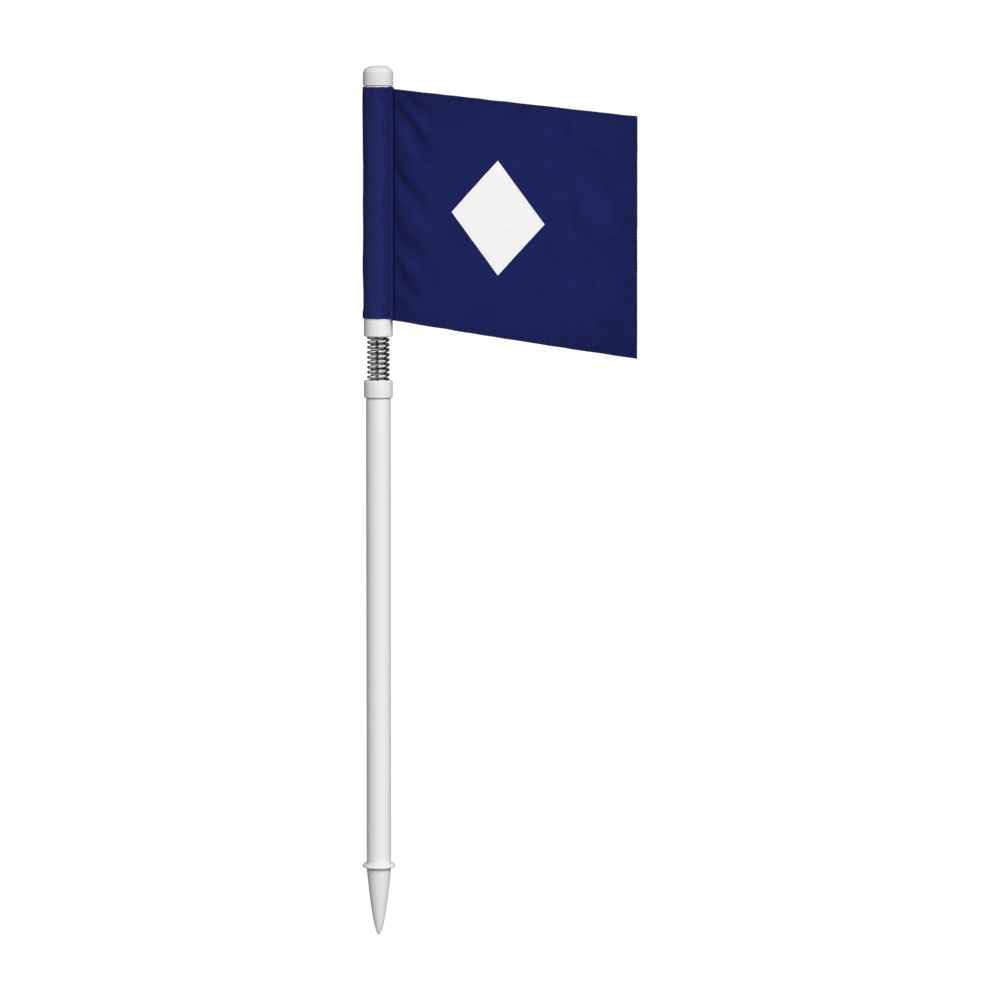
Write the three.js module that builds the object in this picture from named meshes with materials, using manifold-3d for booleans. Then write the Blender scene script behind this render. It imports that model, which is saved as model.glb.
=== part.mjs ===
// Sprung corner flag: a white plastic pole on a ground spike, bent by a steel spring, with a sleeved flag.
// Millimetres, +Z up. The origin is on the pole's axis at the underside of the stop ring, which is the
// level of the turf. The flag stands out along +X.

import * as THREE from "three";
import { mergeVertices } from "three/addons/utils/BufferGeometryUtils.js";
import Module from "manifold-3d";

const wasm = await Module();
wasm.setup();

// Clearances
const SEAT_GAP = 0.3; // between two faces that rest on each other
const BORE_GAP = 0.3; // round a plug, neck, pin or spring in its bore
const CUT_OVERRUN = 5; // how far a cutting solid runs past the faces that it cuts

// Stop ring
const RING_OD = 61.4;
const RING_HEIGHT = 7.5;
const RING_RECESS = 2; // depth of the recess that the spike's shoulder sits in
const RING_WEB = 3; // between the spike's shoulder and the tube's end
const RING_EDGE_ROUND = 1.8; // on the underside's outer edge
const RING_SHOULDER = 4.7; // height of the rounded shoulder under the top rim
const RING_LIP = 0.6; // top rim round the tube

// Ground spike
const SPIKE_OD = 46.6;
const SPIKE_LENGTH = 130;
const SPIKE_FULLNESS = 1.89; // power of the radius that the way up from the point follows
const SPIKE_NECK_LENGTH = 90;
const SPIKE_NECK_WALL = 5;
const SPIKE_CORE_DEPTH = 74;

// Lower tube
const LOWER_TUBE_OD = 46;
const LOWER_TUBE_WALL = 3;
const LOWER_TUBE_LENGTH = 891.4;

// Collar over the lower tube's end
const COLLAR_OD = 54;
const COLLAR_HEIGHT = 33;
const COLLAR_GRIP = 12; // how far it reaches down over the tube
const COLLAR_ROUND = 2.8;

// Outer spring
const SPRING_OD = 42.4;
const SPRING_WIRE = 5.8;
const SPRING_SHOWN = 81.5; // between the collar and the upper tube
const SPRING_CLOSED_PITCH = 6.4;
const SPRING_CLOSED_TURNS = 1.25; // at each end
const SPRING_OPEN_TURNS = 9.125;
const SPRING_START_DEG = 222; // where its lower leg stands

// Inner spring
const INNER_OD = 29.6; // close inside the outer spring
const INNER_WIRE = 3;
const INNER_TURNS = 29;
const INNER_START_DEG = 42;

// Plugs that carry the springs
const PLUG_FLOOR = 2.2; // behind the outer spring's leg
const LOWER_PLUG_BODY = 50;
const UPPER_PLUG_BODY = 52; // above the pocket
const PLUG_CORE_WALL = 6;
const PLUG_CORE_DEPTH = 24;
const PLUG_CHAMFER = 1.5;
const PEG_HEIGHT = 9;
const POCKET_SETBACK = 0.8; // the upper plug's skirt stops this far inside the tube's end

// Upper tube
const UPPER_TUBE_OD = 54;
const UPPER_TUBE_WALL = 3;
const UPPER_TUBE_SHOWN = 34.1; // below the flag's sleeve
const UPPER_TUBE_ROUND = 2.2; // on the outer edge of its lower end
const UPPER_TUBE_CHAMFER = 0.8; // height of the chamfer under the cap

// Cross pins
const PIN_DIAMETER = 4;
const PIN_SHORT = 1; // each end stops this far inside the tube's surface
const PIN_BEARING_DEG = 40;
const SPIKE_PIN_HEIGHT = 45;
const LOWER_PIN_BELOW_END = 7;
const UPPER_PIN_ABOVE_END = 45;

// Cap
const CAP_OD = 56;
const CAP_HEIGHT = 37.2;
const CAP_CROWN = 0.8; // rise of the top's middle
const CAP_CORNER_WIDTH = 17;
const CAP_CORNER_HEIGHT = 14;
const CAP_RIM_CHAMFER = 1; // height of the chamfer round the rim
const CAP_GROOVE_DEPTH = 2; // how far in the two chamfers reach between cap and tube
const CAP_WALL = 3;
const CAP_SPIGOT_LENGTH = 38;
const CAP_SPIGOT_WALL = 2.4;

// Flag cloth
const CLOTH = 0.8;
const CLOTH_GAP = 0.3; // between two layers that are sewn together
const SLEEVE_SLACK = 0.5; // round the tube
const SLEEVE_BELOW_CAP = 2.5;
const SEAM_STANDOFF = 4.8; // from the tube's surface to where the sleeve's layers meet
const SEAM_FLANGE = 3.8; // width of the sewn edge
const PANEL_LENGTH = 577.4; // from its edge inside the seam to the fly edge
const PANEL_HEIGHT = 427;
const PANEL_TOP_STEP = 3.2; // its hoist corner lies this far below the sleeve's top edge
const PANEL_BOTTOM_STEP = 3.2; // and its lower one this far below the sleeve's bottom edge
const PANEL_DROP = 47; // the fly edge hangs this much lower than the hoist
const PANEL_IN_SEAM = 0.8; // from where the layers meet to the panel's edge
const FOLD_DEPTH = 3.4;
const FOLD_REACH = 90; // distance of the folds' deepest stretch from a hoist corner
const FOLD_SPREAD = 50;
const FOLD_EASE = 40; // from the seam, over which the folds grow
const BILLOW_DEPTH = 3.2;
const HEM_TOP_WIDTH = 14;
const HEM_BOTTOM_WIDTH = 17;
const HEM_FLY_WIDTH = 20;
const HEM_INSET = 0.4; // hem strips stop this far inside the panel's edge and short of each other

// Counts and shares
const ROUND_SIDES = 48;
const HOLE_SIDES = 16;
const CURVE_STEPS = 8;
const SPIKE_STEPS = 10;
const CURL_STEPS = 8;
const WIRE_SIDES = 5;
const SLEEVE_STEPS = 40;
const PANEL_COLUMNS = 24;
const PANEL_ROWS = 18;
const FOLD_ANGLE_SHARES = [0.33, 0.59]; // directions of the folds, as shares of a right angle
const FOLD_WIDTH_SHARE = 0.13; // width of a fold, as a share of a right angle
const GAP_SAMPLES = 4;

// Heights along the pole
const shoulderTop = RING_RECESS - SEAT_GAP;
const ringWebTop = RING_RECESS + RING_WEB;
const lowerTubeBottom = ringWebTop + SEAT_GAP;
const lowerTubeTop = lowerTubeBottom + LOWER_TUBE_LENGTH;
const flangeBottom = lowerTubeTop + SEAT_GAP;
const flange = SPRING_WIRE + PLUG_FLOOR;
const flangeTop = flangeBottom + flange;
const springFloor = flangeTop + SEAT_GAP;
const collarBottom = lowerTubeTop - COLLAR_GRIP;
const collarTop = collarBottom + COLLAR_HEIGHT;
const upperTubeBottom = collarTop + SPRING_SHOWN;
const sleeveBottom = upperTubeBottom + UPPER_TUBE_SHOWN;
const sleeveLength = PANEL_HEIGHT + PANEL_TOP_STEP - PANEL_BOTTOM_STEP;
const sleeveTop = sleeveBottom + sleeveLength;
const capRim = sleeveTop + SLEEVE_BELOW_CAP;
const upperTubeTop = capRim - SEAT_GAP;
const pocketRoof = upperTubeBottom + collarTop - flangeTop;
const springRoof = pocketRoof - SEAT_GAP;
const upperPlugTop = pocketRoof + flange + UPPER_PLUG_BODY;

// Radii
const lowerTubeR = LOWER_TUBE_OD / 2;
const lowerBoreR = lowerTubeR - LOWER_TUBE_WALL;
const lowerFitR = lowerBoreR - BORE_GAP;
const lowerSocketR = lowerTubeR + BORE_GAP;
const upperTubeR = UPPER_TUBE_OD / 2;
const upperBoreR = upperTubeR - UPPER_TUBE_WALL;
const upperFitR = upperBoreR - BORE_GAP;
const shoulderR = SPIKE_OD / 2;
const recessR = shoulderR + BORE_GAP;
const springR = (SPRING_OD - SPRING_WIRE) / 2;
const springPocketR = SPRING_OD / 2 + BORE_GAP;
const innerR = (INNER_OD - INNER_WIRE) / 2;
const pegR = innerR * Math.cos(Math.PI / CURL_STEPS) - INNER_WIRE / 2 - BORE_GAP;

// Springs: the angles of their lower legs, and the turns that are wound closed at each end
const OUTER = {
  coilR: springR,
  wire: SPRING_WIRE,
  start: THREE.MathUtils.degToRad(SPRING_START_DEG),
  openTurns: SPRING_OPEN_TURNS,
  closedTurns: SPRING_CLOSED_TURNS,
  closedPitch: SPRING_CLOSED_PITCH,
};
const INNER = {
  coilR: innerR,
  wire: INNER_WIRE,
  start: THREE.MathUtils.degToRad(INNER_START_DEG),
  openTurns: INNER_TURNS,
  closedTurns: 0,
  closedPitch: 0,
};

const white = (roughness) => new THREE.MeshStandardMaterial({ color: 0xe4e4e2, roughness, metalness: 0 });
const nylon = () => new THREE.MeshStandardMaterial({ color: 0x2a2b2d, roughness: 0.55, metalness: 0 });
const steel = (roughness) => new THREE.MeshStandardMaterial({ color: 0xb9bcc0, roughness, metalness: 1 });
const navy = () => new THREE.MeshStandardMaterial({ color: 0x1e2359, roughness: 0.85, metalness: 0 });

// One closed mesh: shared corners joined, flat slivers dropped and the faces turned outwards.
function closed(geometry) {
  geometry.deleteAttribute("normal");
  geometry.deleteAttribute("uv");
  const merged = mergeVertices(geometry);
  const at = merged.getAttribute("position");
  const corners = [0, 1, 2].map(() => new THREE.Vector3());
  const kept = [];
  let volume = 0;
  for (let i = 0; i < merged.index.count; i += 3) {
    const face = [0, 1, 2].map((k) => merged.index.getX(i + k));
    if (new Set(face).size < face.length) continue;
    kept.push(...face);
    corners.forEach((corner, k) => corner.fromBufferAttribute(at, face[k]));
    volume += corners[0].dot(corners[1].cross(corners[2]));
  }
  merged.setIndex(volume < 0 ? kept.reverse() : kept);
  return merged;
}

function solid(geometry) {
  const whole = closed(geometry);
  const vertProperties = whole.getAttribute("position").array;
  const triVerts = new Uint32Array(whole.index.array);
  return new wasm.Manifold(new wasm.Mesh({ numProp: 3, vertProperties, triVerts }));
}

function geometryOf(body) {
  const { vertProperties, triVerts } = body.getMesh();
  const geometry = new THREE.BufferGeometry();
  geometry.setAttribute("position", new THREE.BufferAttribute(vertProperties, 3));
  geometry.setIndex(new THREE.BufferAttribute(triVerts, 1));
  return geometry;
}

function cut(geometry, cutters) {
  return geometryOf(cutters.reduce((body, cutter) => body.subtract(solid(cutter)), solid(geometry)));
}

// A turned piece: its outline is given as [radius, height] pairs and spun about the pole's axis.
function turned(outline) {
  const points = outline.map(([radius, height]) => new THREE.Vector2(radius, height));
  return new THREE.LatheGeometry(points, ROUND_SIDES).rotateX(Math.PI / 2);
}

// A turned ring: the outline closes on itself.
function turnedRing(outline) {
  return turned([...outline, outline[0]]);
}

// Points on a quarter of an ellipse, from one angle to another in quarter turns.
function quarter(centreR, centreZ, width, height, fromQuarter, toQuarter) {
  const points = [];
  for (let i = 0; i <= CURVE_STEPS; i += 1) {
    const angle = ((fromQuarter + ((toQuarter - fromQuarter) * i) / CURVE_STEPS) * Math.PI) / 2;
    points.push([centreR + width * Math.cos(angle), centreZ + height * Math.sin(angle)]);
  }
  return points;
}

// A round bar along the pins' bearing, centred on the pole's axis at one height.
function crossBar(diameter, length, height) {
  const bar = new THREE.CylinderGeometry(diameter / 2, diameter / 2, length, HOLE_SIDES);
  bar.rotateZ(Math.PI / 2);
  bar.rotateZ(THREE.MathUtils.degToRad(PIN_BEARING_DEG));
  return bar.translate(0, 0, height);
}

function pinHole(tubeOD, height) {
  return crossBar(PIN_DIAMETER + 2 * BORE_GAP, tubeOD + CUT_OVERRUN, height);
}

function crossPin(tubeOD, height) {
  return crossBar(PIN_DIAMETER, tubeOD - 2 * PIN_SHORT, height);
}

// The angle round the pole at which a spring's upper leg stands.
function endAngle(spring) {
  return spring.start + (spring.openTurns + 2 * spring.closedTurns) * 2 * Math.PI;
}

// A blind hole for a spring's leg, as deep as its wire, centred on the plane that the spring rests on.
function legHole(spring, angle, restHeight) {
  const holeR = spring.wire / 2 + BORE_GAP;
  const hole = new THREE.CylinderGeometry(holeR, holeR, 2 * (spring.wire + SEAT_GAP), HOLE_SIDES);
  hole.rotateX(Math.PI / 2);
  return hole.translate(spring.coilR * Math.cos(angle), spring.coilR * Math.sin(angle), restHeight);
}

// A tube, with its outer edge rounded at the lower end and chamfered at the upper end.
function tube(outerR, boreR, bottom, top, round, chamferWidth, chamferHeight) {
  return turnedRing([
    [boreR, bottom],
    ...quarter(outerR - round, bottom + round, round, round, -1, 0),
    [outerR, top - chamferHeight],
    [outerR - chamferWidth, top],
    [boreR, top],
  ]);
}

// Spike: below the shoulder, the way left to the point follows a power of the radius.
function groundSpike() {
  const outline = [];
  for (let i = 0; i <= SPIKE_STEPS; i += 1) {
    const share = i / SPIKE_STEPS;
    outline.push([shoulderR * share, -SPIKE_LENGTH * (1 - share ** SPIKE_FULLNESS)]);
  }
  const neckTop = shoulderTop + SPIKE_NECK_LENGTH;
  const coreR = lowerFitR - SPIKE_NECK_WALL;
  outline.push([shoulderR, shoulderTop]);
  outline.push([lowerFitR, shoulderTop]);
  outline.push([lowerFitR, neckTop - PLUG_CHAMFER]);
  outline.push([lowerFitR - PLUG_CHAMFER, neckTop]);
  outline.push([coreR, neckTop]);
  outline.push([coreR, neckTop - SPIKE_CORE_DEPTH]);
  outline.push([0, neckTop - SPIKE_CORE_DEPTH]);
  return cut(turned(outline), [pinHole(LOWER_TUBE_OD, SPIKE_PIN_HEIGHT)]);
}

// Stop ring: a flange with a recess below for the spike's shoulder and a socket above for the tube.
function stopRing() {
  const ringR = RING_OD / 2;
  const lipR = lowerSocketR + RING_LIP;
  const neckHoleR = lowerFitR + BORE_GAP;
  const seatR = ringR - RING_EDGE_ROUND;
  return turnedRing([
    [recessR, 0],
    ...quarter(seatR, RING_EDGE_ROUND, RING_EDGE_ROUND, RING_EDGE_ROUND, -1, 0),
    ...quarter(lipR, RING_HEIGHT - RING_SHOULDER, ringR - lipR, RING_SHOULDER, 0, 1),
    [lowerSocketR, RING_HEIGHT],
    [lowerSocketR, ringWebTop],
    [neckHoleR, ringWebTop],
    [neckHoleR, RING_RECESS],
    [recessR, RING_RECESS],
  ]);
}

function lowerTube() {
  const pipe = tube(lowerTubeR, lowerBoreR, lowerTubeBottom, lowerTubeTop, 0, 0, 0);
  const heights = [SPIKE_PIN_HEIGHT, lowerTubeTop - LOWER_PIN_BELOW_END];
  return cut(pipe, heights.map((height) => pinHole(LOWER_TUBE_OD, height)));
}

// Lower plug: body in the tube, flange on the tube's end, and a peg that centres the inner spring.
function lowerPlug() {
  const bottom = flangeBottom - LOWER_PLUG_BODY;
  const coreR = lowerFitR - PLUG_CORE_WALL;
  const pegTop = flangeTop + PEG_HEIGHT;
  const outline = [
    [0, bottom + PLUG_CORE_DEPTH],
    [coreR, bottom + PLUG_CORE_DEPTH],
    [coreR, bottom],
    [lowerFitR - PLUG_CHAMFER, bottom],
    [lowerFitR, bottom + PLUG_CHAMFER],
    [lowerFitR, flangeBottom],
    [lowerTubeR, flangeBottom],
    [lowerTubeR, flangeTop],
    [pegR, flangeTop],
    [pegR, pegTop - PLUG_CHAMFER],
    [pegR - PLUG_CHAMFER, pegTop],
    [0, pegTop],
  ];
  return cut(turned(outline), [
    pinHole(LOWER_TUBE_OD, lowerTubeTop - LOWER_PIN_BELOW_END),
    ...[OUTER, INNER].map((spring) => legHole(spring, spring.start, springFloor)),
  ]);
}

// Collar: its inner step rests on the plug's flange, and its pocket holds the spring's first turns.
function lowerCollar() {
  const outerR = COLLAR_OD / 2;
  return turnedRing([
    [lowerSocketR, collarBottom],
    ...quarter(outerR - COLLAR_ROUND, collarBottom + COLLAR_ROUND, COLLAR_ROUND, COLLAR_ROUND, -1, 0),
    ...quarter(outerR - COLLAR_ROUND, collarTop - COLLAR_ROUND, COLLAR_ROUND, COLLAR_ROUND, 0, 1),
    [springPocketR, collarTop],
    [springPocketR, springFloor],
    [lowerSocketR, springFloor],
  ]);
}

function upperTube() {
  const edges = [UPPER_TUBE_ROUND, CAP_GROOVE_DEPTH, UPPER_TUBE_CHAMFER];
  const pipe = tube(upperTubeR, upperBoreR, upperTubeBottom, upperTubeTop, ...edges);
  return cut(pipe, [pinHole(UPPER_TUBE_OD, upperTubeBottom + UPPER_PIN_ABOVE_END)]);
}

// Upper plug: body in the tube, a pocket below it round the spring's last turns, and a centring peg.
function upperPlug() {
  const skirtBottom = upperTubeBottom + POCKET_SETBACK;
  const coreR = upperFitR - PLUG_CORE_WALL;
  const pegBottom = pocketRoof - PEG_HEIGHT;
  const outline = [
    [0, pegBottom],
    [pegR - PLUG_CHAMFER, pegBottom],
    [pegR, pegBottom + PLUG_CHAMFER],
    [pegR, pocketRoof],
    [springPocketR, pocketRoof],
    [springPocketR, skirtBottom],
    [upperFitR, skirtBottom],
    [upperFitR, upperPlugTop - PLUG_CHAMFER],
    [upperFitR - PLUG_CHAMFER, upperPlugTop],
    [coreR, upperPlugTop],
    [coreR, upperPlugTop - PLUG_CORE_DEPTH],
    [0, upperPlugTop - PLUG_CORE_DEPTH],
  ];
  return cut(turned(outline), [
    pinHole(UPPER_TUBE_OD, upperTubeBottom + UPPER_PIN_ABOVE_END),
    ...[OUTER, INNER].map((spring) => legHole(spring, endAngle(spring), springRoof)),
  ]);
}

// Cap: a dome that stands on the tube's end, over a hollow spigot pushed into the bore.
function cap() {
  const capR = CAP_OD / 2;
  const top = capRim + CAP_HEIGHT;
  const cornerTop = top - CAP_CROWN;
  const hollowR = upperFitR - CAP_SPIGOT_WALL;
  const spigotBottom = capRim - CAP_SPIGOT_LENGTH;
  const cornerR = capR - CAP_CORNER_WIDTH;
  const cornerZ = cornerTop - CAP_CORNER_HEIGHT;
  return turned([
    [0, cornerTop - CAP_WALL],
    ...quarter(cornerR, cornerZ, hollowR - cornerR, CAP_CORNER_HEIGHT - CAP_WALL, 1, 0),
    [hollowR, spigotBottom],
    [upperFitR - PLUG_CHAMFER, spigotBottom],
    [upperFitR, spigotBottom + PLUG_CHAMFER],
    [upperFitR, capRim],
    [capR - CAP_GROOVE_DEPTH, capRim],
    [capR, capRim + CAP_RIM_CHAMFER],
    ...quarter(cornerR, cornerZ, CAP_CORNER_WIDTH, CAP_CORNER_HEIGHT, 0, 1),
    [0, top],
  ]);
}

// Centre line of a spring: a straight leg, closed turns, open turns, closed turns and a straight leg.
function springLine(spring) {
  const { coilR, wire, start, openTurns, closedTurns, closedPitch } = spring;
  const turns = openTurns + 2 * closedTurns;
  const steps = Math.round(turns * CURL_STEPS);
  const low = springFloor + wire / 2;
  const high = springRoof - wire / 2;
  const openPitch = (high - low - 2 * closedTurns * closedPitch) / openTurns;
  const points = [];
  for (let i = 0; i <= steps; i += 1) {
    const turn = (turns * i) / steps;
    const closedBelow = Math.min(turn, closedTurns);
    const open = Math.min(Math.max(turn - closedTurns, 0), openTurns);
    const closedAbove = Math.max(turn - closedTurns - openTurns, 0);
    const height = low + (closedBelow + closedAbove) * closedPitch + open * openPitch;
    const angle = start + turn * 2 * Math.PI;
    points.push(new THREE.Vector3(coilR * Math.cos(angle), coilR * Math.sin(angle), height));
  }
  const leg = new THREE.Vector3(0, 0, wire / 2 + wire);
  points.unshift(points[0].clone().sub(leg));
  points.push(points[points.length - 1].clone().add(leg));
  return points;
}

// A round wire along a spring's centre line, as one closed tube.
function wireAlong(points, wire) {
  const positions = [];
  const index = [];
  points.forEach((point, i) => {
    const before = points[Math.max(i - 1, 0)];
    const after = points[Math.min(i + 1, points.length - 1)];
    const along = new THREE.Vector3().subVectors(after, before).normalize();
    const outward = new THREE.Vector3(point.x, point.y, 0).normalize();
    const across = new THREE.Vector3().crossVectors(along, outward).normalize();
    outward.crossVectors(across, along);
    for (let k = 0; k < WIRE_SIDES; k += 1) {
      const angle = (k * 2 * Math.PI) / WIRE_SIDES;
      const corner = point.clone();
      corner.addScaledVector(outward, (wire / 2) * Math.cos(angle));
      corner.addScaledVector(across, (wire / 2) * Math.sin(angle));
      positions.push(...corner.toArray());
    }
  });
  const last = (points.length - 1) * WIRE_SIDES;
  for (let k = 0; k < WIRE_SIDES; k += 1) {
    const next = (k + 1) % WIRE_SIDES;
    for (let start = 0; start < last; start += WIRE_SIDES) {
      index.push(start + k, start + WIRE_SIDES + next, start + WIRE_SIDES + k);
      index.push(start + k, start + next, start + WIRE_SIDES + next);
    }
    if (k > 0 && next > 0) {
      index.push(0, next, k);
      index.push(last, last + k, last + next);
    }
  }
  const geometry = new THREE.BufferGeometry();
  geometry.setAttribute("position", new THREE.Float32BufferAttribute(positions, 3));
  geometry.setIndex(index);
  return geometry;
}

// Least gap between two stretches of a wire that lie at least half a turn apart along it.
function leastGap(points, wire) {
  const samples = [];
  for (let i = 1; i < points.length; i += 1) {
    for (let k = 0; k < GAP_SAMPLES; k += 1) {
      samples.push(points[i - 1].clone().lerp(points[i], k / GAP_SAMPLES));
    }
  }
  const apart = (GAP_SAMPLES * CURL_STEPS) / 2;
  let least = Infinity;
  for (let i = 0; i < samples.length; i += 1) {
    for (let j = i + apart; j < samples.length; j += 1) {
      least = Math.min(least, samples[i].distanceTo(samples[j]) - wire);
    }
  }
  return least;
}

// Sleeve: a strip of cloth round the tube, whose two ends come together and run on as the sewn edge.
const sleeveMidR = upperTubeR + SLEEVE_SLACK + CLOTH / 2;
const seamX = upperTubeR + SEAM_STANDOFF;
const flangeEndX = seamX + SEAM_FLANGE;
const layerY = CLOTH + CLOTH_GAP;

function sleeveLine() {
  const reach = Math.hypot(seamX, layerY);
  const touch = Math.acos(sleeveMidR / reach) + Math.atan2(layerY, seamX);
  const line = [new THREE.Vector2(flangeEndX, layerY), new THREE.Vector2(seamX, layerY)];
  for (let i = 0; i <= SLEEVE_STEPS; i += 1) {
    const angle = touch + ((2 * Math.PI - 2 * touch) * i) / SLEEVE_STEPS;
    line.push(new THREE.Vector2(sleeveMidR * Math.cos(angle), sleeveMidR * Math.sin(angle)));
  }
  line.push(new THREE.Vector2(seamX, -layerY));
  line.push(new THREE.Vector2(flangeEndX, -layerY));
  return line;
}

function offsetLine(line, distance) {
  return line.map((point, i) => {
    const before = new THREE.Vector2().subVectors(point, line[Math.max(i - 1, 0)]).normalize();
    const after = new THREE.Vector2().subVectors(line[Math.min(i + 1, line.length - 1)], point).normalize();
    const along = new THREE.Vector2().addVectors(before, after).normalize();
    const known = i === 0 ? after : before;
    const stretch = 1 / along.dot(known);
    return new THREE.Vector2(point.x - along.y * distance * stretch, point.y + along.x * distance * stretch);
  });
}

function flagSleeve() {
  const line = sleeveLine();
  const outer = offsetLine(line, -CLOTH / 2);
  const inner = offsetLine(line, CLOTH / 2).reverse();
  const strip = new THREE.Shape([...outer, ...inner]);
  const cloth = new THREE.ExtrudeGeometry(strip, { depth: sleeveLength, bevelEnabled: false });
  return cloth.translate(0, 0, sleeveBottom);
}

// Panel: a parallelogram that hangs from the seam, with soft folds fanning out of its hoist corners.
const panelX = seamX + PANEL_IN_SEAM;
const panelTop = sleeveTop - PANEL_TOP_STEP;
const seamShare = (flangeEndX - panelX) / PANEL_LENGTH;

const bell = (offset, width) => Math.exp(-((offset / width) ** 2));

// How far the cloth stands out of its plane at a place given by shares along and down the panel.
function clothDepth(alongShare, downShare) {
  const free = Math.max(alongShare - seamShare, 0) * PANEL_LENGTH;
  let depth = -BILLOW_DEPTH * Math.sin(Math.PI * alongShare) * Math.sin(Math.PI * downShare);
  for (const cornerShare of [downShare, 1 - downShare]) {
    const away = cornerShare * PANEL_HEIGHT;
    const swell = bell(Math.hypot(free, away) - FOLD_REACH, FOLD_SPREAD);
    const angleShare = Math.atan2(away, free) / (Math.PI / 2);
    for (const foldShare of FOLD_ANGLE_SHARES) {
      depth += FOLD_DEPTH * swell * bell(angleShare - foldShare, FOLD_WIDTH_SHARE);
    }
  }
  return depth * (1 - Math.exp(-free / FOLD_EASE));
}

function clothPoint(alongShare, downShare, behind) {
  const x = panelX + alongShare * PANEL_LENGTH;
  const drop = Math.max(alongShare - seamShare, 0) * PANEL_DROP;
  const z = panelTop - drop - downShare * PANEL_HEIGHT;
  return [x, clothDepth(alongShare, downShare) + behind, z];
}

function spaced(fromShare, toShare, steps) {
  return Array.from({ length: steps + 1 }, (_, i) => THREE.MathUtils.lerp(fromShare, toShare, i / steps));
}

// A sheet of cloth whose grid lines are given as shares along and down the panel, some way behind it.
function clothSheet(alongShares, downShares, behind) {
  const positions = [];
  for (const layer of [behind - CLOTH / 2, behind + CLOTH / 2]) {
    for (const downShare of downShares) {
      for (const alongShare of alongShares) {
        positions.push(...clothPoint(alongShare, downShare, layer));
      }
    }
  }
  const width = alongShares.length;
  const columns = width - 1;
  const rows = downShares.length - 1;
  const layerSize = width * downShares.length;
  const index = [];
  const quad = (a, b, c, d) => index.push(a, b, c, a, c, d);
  for (let row = 0; row < rows; row += 1) {
    for (let column = 0; column < columns; column += 1) {
      const a = row * width + column;
      quad(a, a + width, a + width + 1, a + 1);
      quad(layerSize + a, layerSize + a + 1, layerSize + a + width + 1, layerSize + a + width);
    }
    const left = row * width;
    const right = left + columns;
    quad(left, layerSize + left, layerSize + left + width, left + width);
    quad(right, right + width, layerSize + right + width, layerSize + right);
  }
  for (let column = 0; column < columns; column += 1) {
    const bottom = rows * width + column;
    quad(column, column + 1, layerSize + column + 1, layerSize + column);
    quad(bottom, layerSize + bottom, layerSize + bottom + 1, bottom + 1);
  }
  const geometry = new THREE.BufferGeometry();
  geometry.setAttribute("position", new THREE.Float32BufferAttribute(positions, 3));
  geometry.setIndex(index);
  return geometry;
}

// The panel's grid lines run along the inner edges of its hems, so that hems and panel keep their gap.
const hemBehind = CLOTH + CLOTH_GAP;
const hemStartShare = seamShare + SEAT_GAP / PANEL_LENGTH;
const hemEndShare = 1 - HEM_INSET / PANEL_LENGTH;
const hemFlyShare = 1 - HEM_FLY_WIDTH / PANEL_LENGTH;
const hemTopShare = HEM_TOP_WIDTH / PANEL_HEIGHT;
const hemBottomShare = 1 - HEM_BOTTOM_WIDTH / PANEL_HEIGHT;
const insetShare = HEM_INSET / PANEL_HEIGHT;
const columnShares = spaced(hemStartShare, hemFlyShare, PANEL_COLUMNS);
const rowShares = spaced(hemTopShare, hemBottomShare, PANEL_ROWS);

const flagPanel = () => clothSheet([0, ...columnShares, 1], [0, ...rowShares, 1], 0);

const longHem = (downShares) => clothSheet([...columnShares, hemEndShare], downShares, hemBehind);

const hemFly = () => {
  const betweenShares = rowShares.slice(1, -1);
  const downShares = [hemTopShare + insetShare, ...betweenShares, hemBottomShare - insetShare];
  return clothSheet([hemFlyShare, hemEndShare], downShares, hemBehind);
};

for (const spring of [OUTER, INNER]) {
  const gap = leastGap(springLine(spring), spring.wire);
  console.log(`spring of ${spring.wire} mm wire: least gap to itself ${gap.toFixed(2)} mm`);
}

const part = new THREE.Group();

function add(name, geometry, material) {
  const mesh = new THREE.Mesh(closed(geometry), material);
  mesh.name = name;
  part.add(mesh);
}

add("ground_spike", groundSpike(), white(0.45));
add("stop_ring", stopRing(), white(0.4));
add("spike_pin", crossPin(LOWER_TUBE_OD, SPIKE_PIN_HEIGHT), steel(0.35));
add("lower_tube", lowerTube(), white(0.35));
add("lower_plug", lowerPlug(), nylon());
add("lower_pin", crossPin(LOWER_TUBE_OD, lowerTubeTop - LOWER_PIN_BELOW_END), steel(0.35));
add("lower_collar", lowerCollar(), white(0.35));
add("outer_spring", wireAlong(springLine(OUTER), SPRING_WIRE), steel(0.2));
add("inner_spring", wireAlong(springLine(INNER), INNER_WIRE), steel(0.25));
add("upper_tube", upperTube(), white(0.35));
add("upper_plug", upperPlug(), nylon());
add("upper_pin", crossPin(UPPER_TUBE_OD, upperTubeBottom + UPPER_PIN_ABOVE_END), steel(0.35));
add("cap", cap(), white(0.4));
add("flag_sleeve", flagSleeve(), navy());
add("flag_panel", flagPanel(), navy());
add("hem_top", longHem([insetShare, hemTopShare]), navy());
add("hem_bottom", longHem([hemBottomShare, 1 - insetShare]), navy());
add("hem_fly", hemFly(), navy());

export default part;
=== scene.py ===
import math

import bpy
import numpy as np
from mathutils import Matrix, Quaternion, Vector


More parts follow.
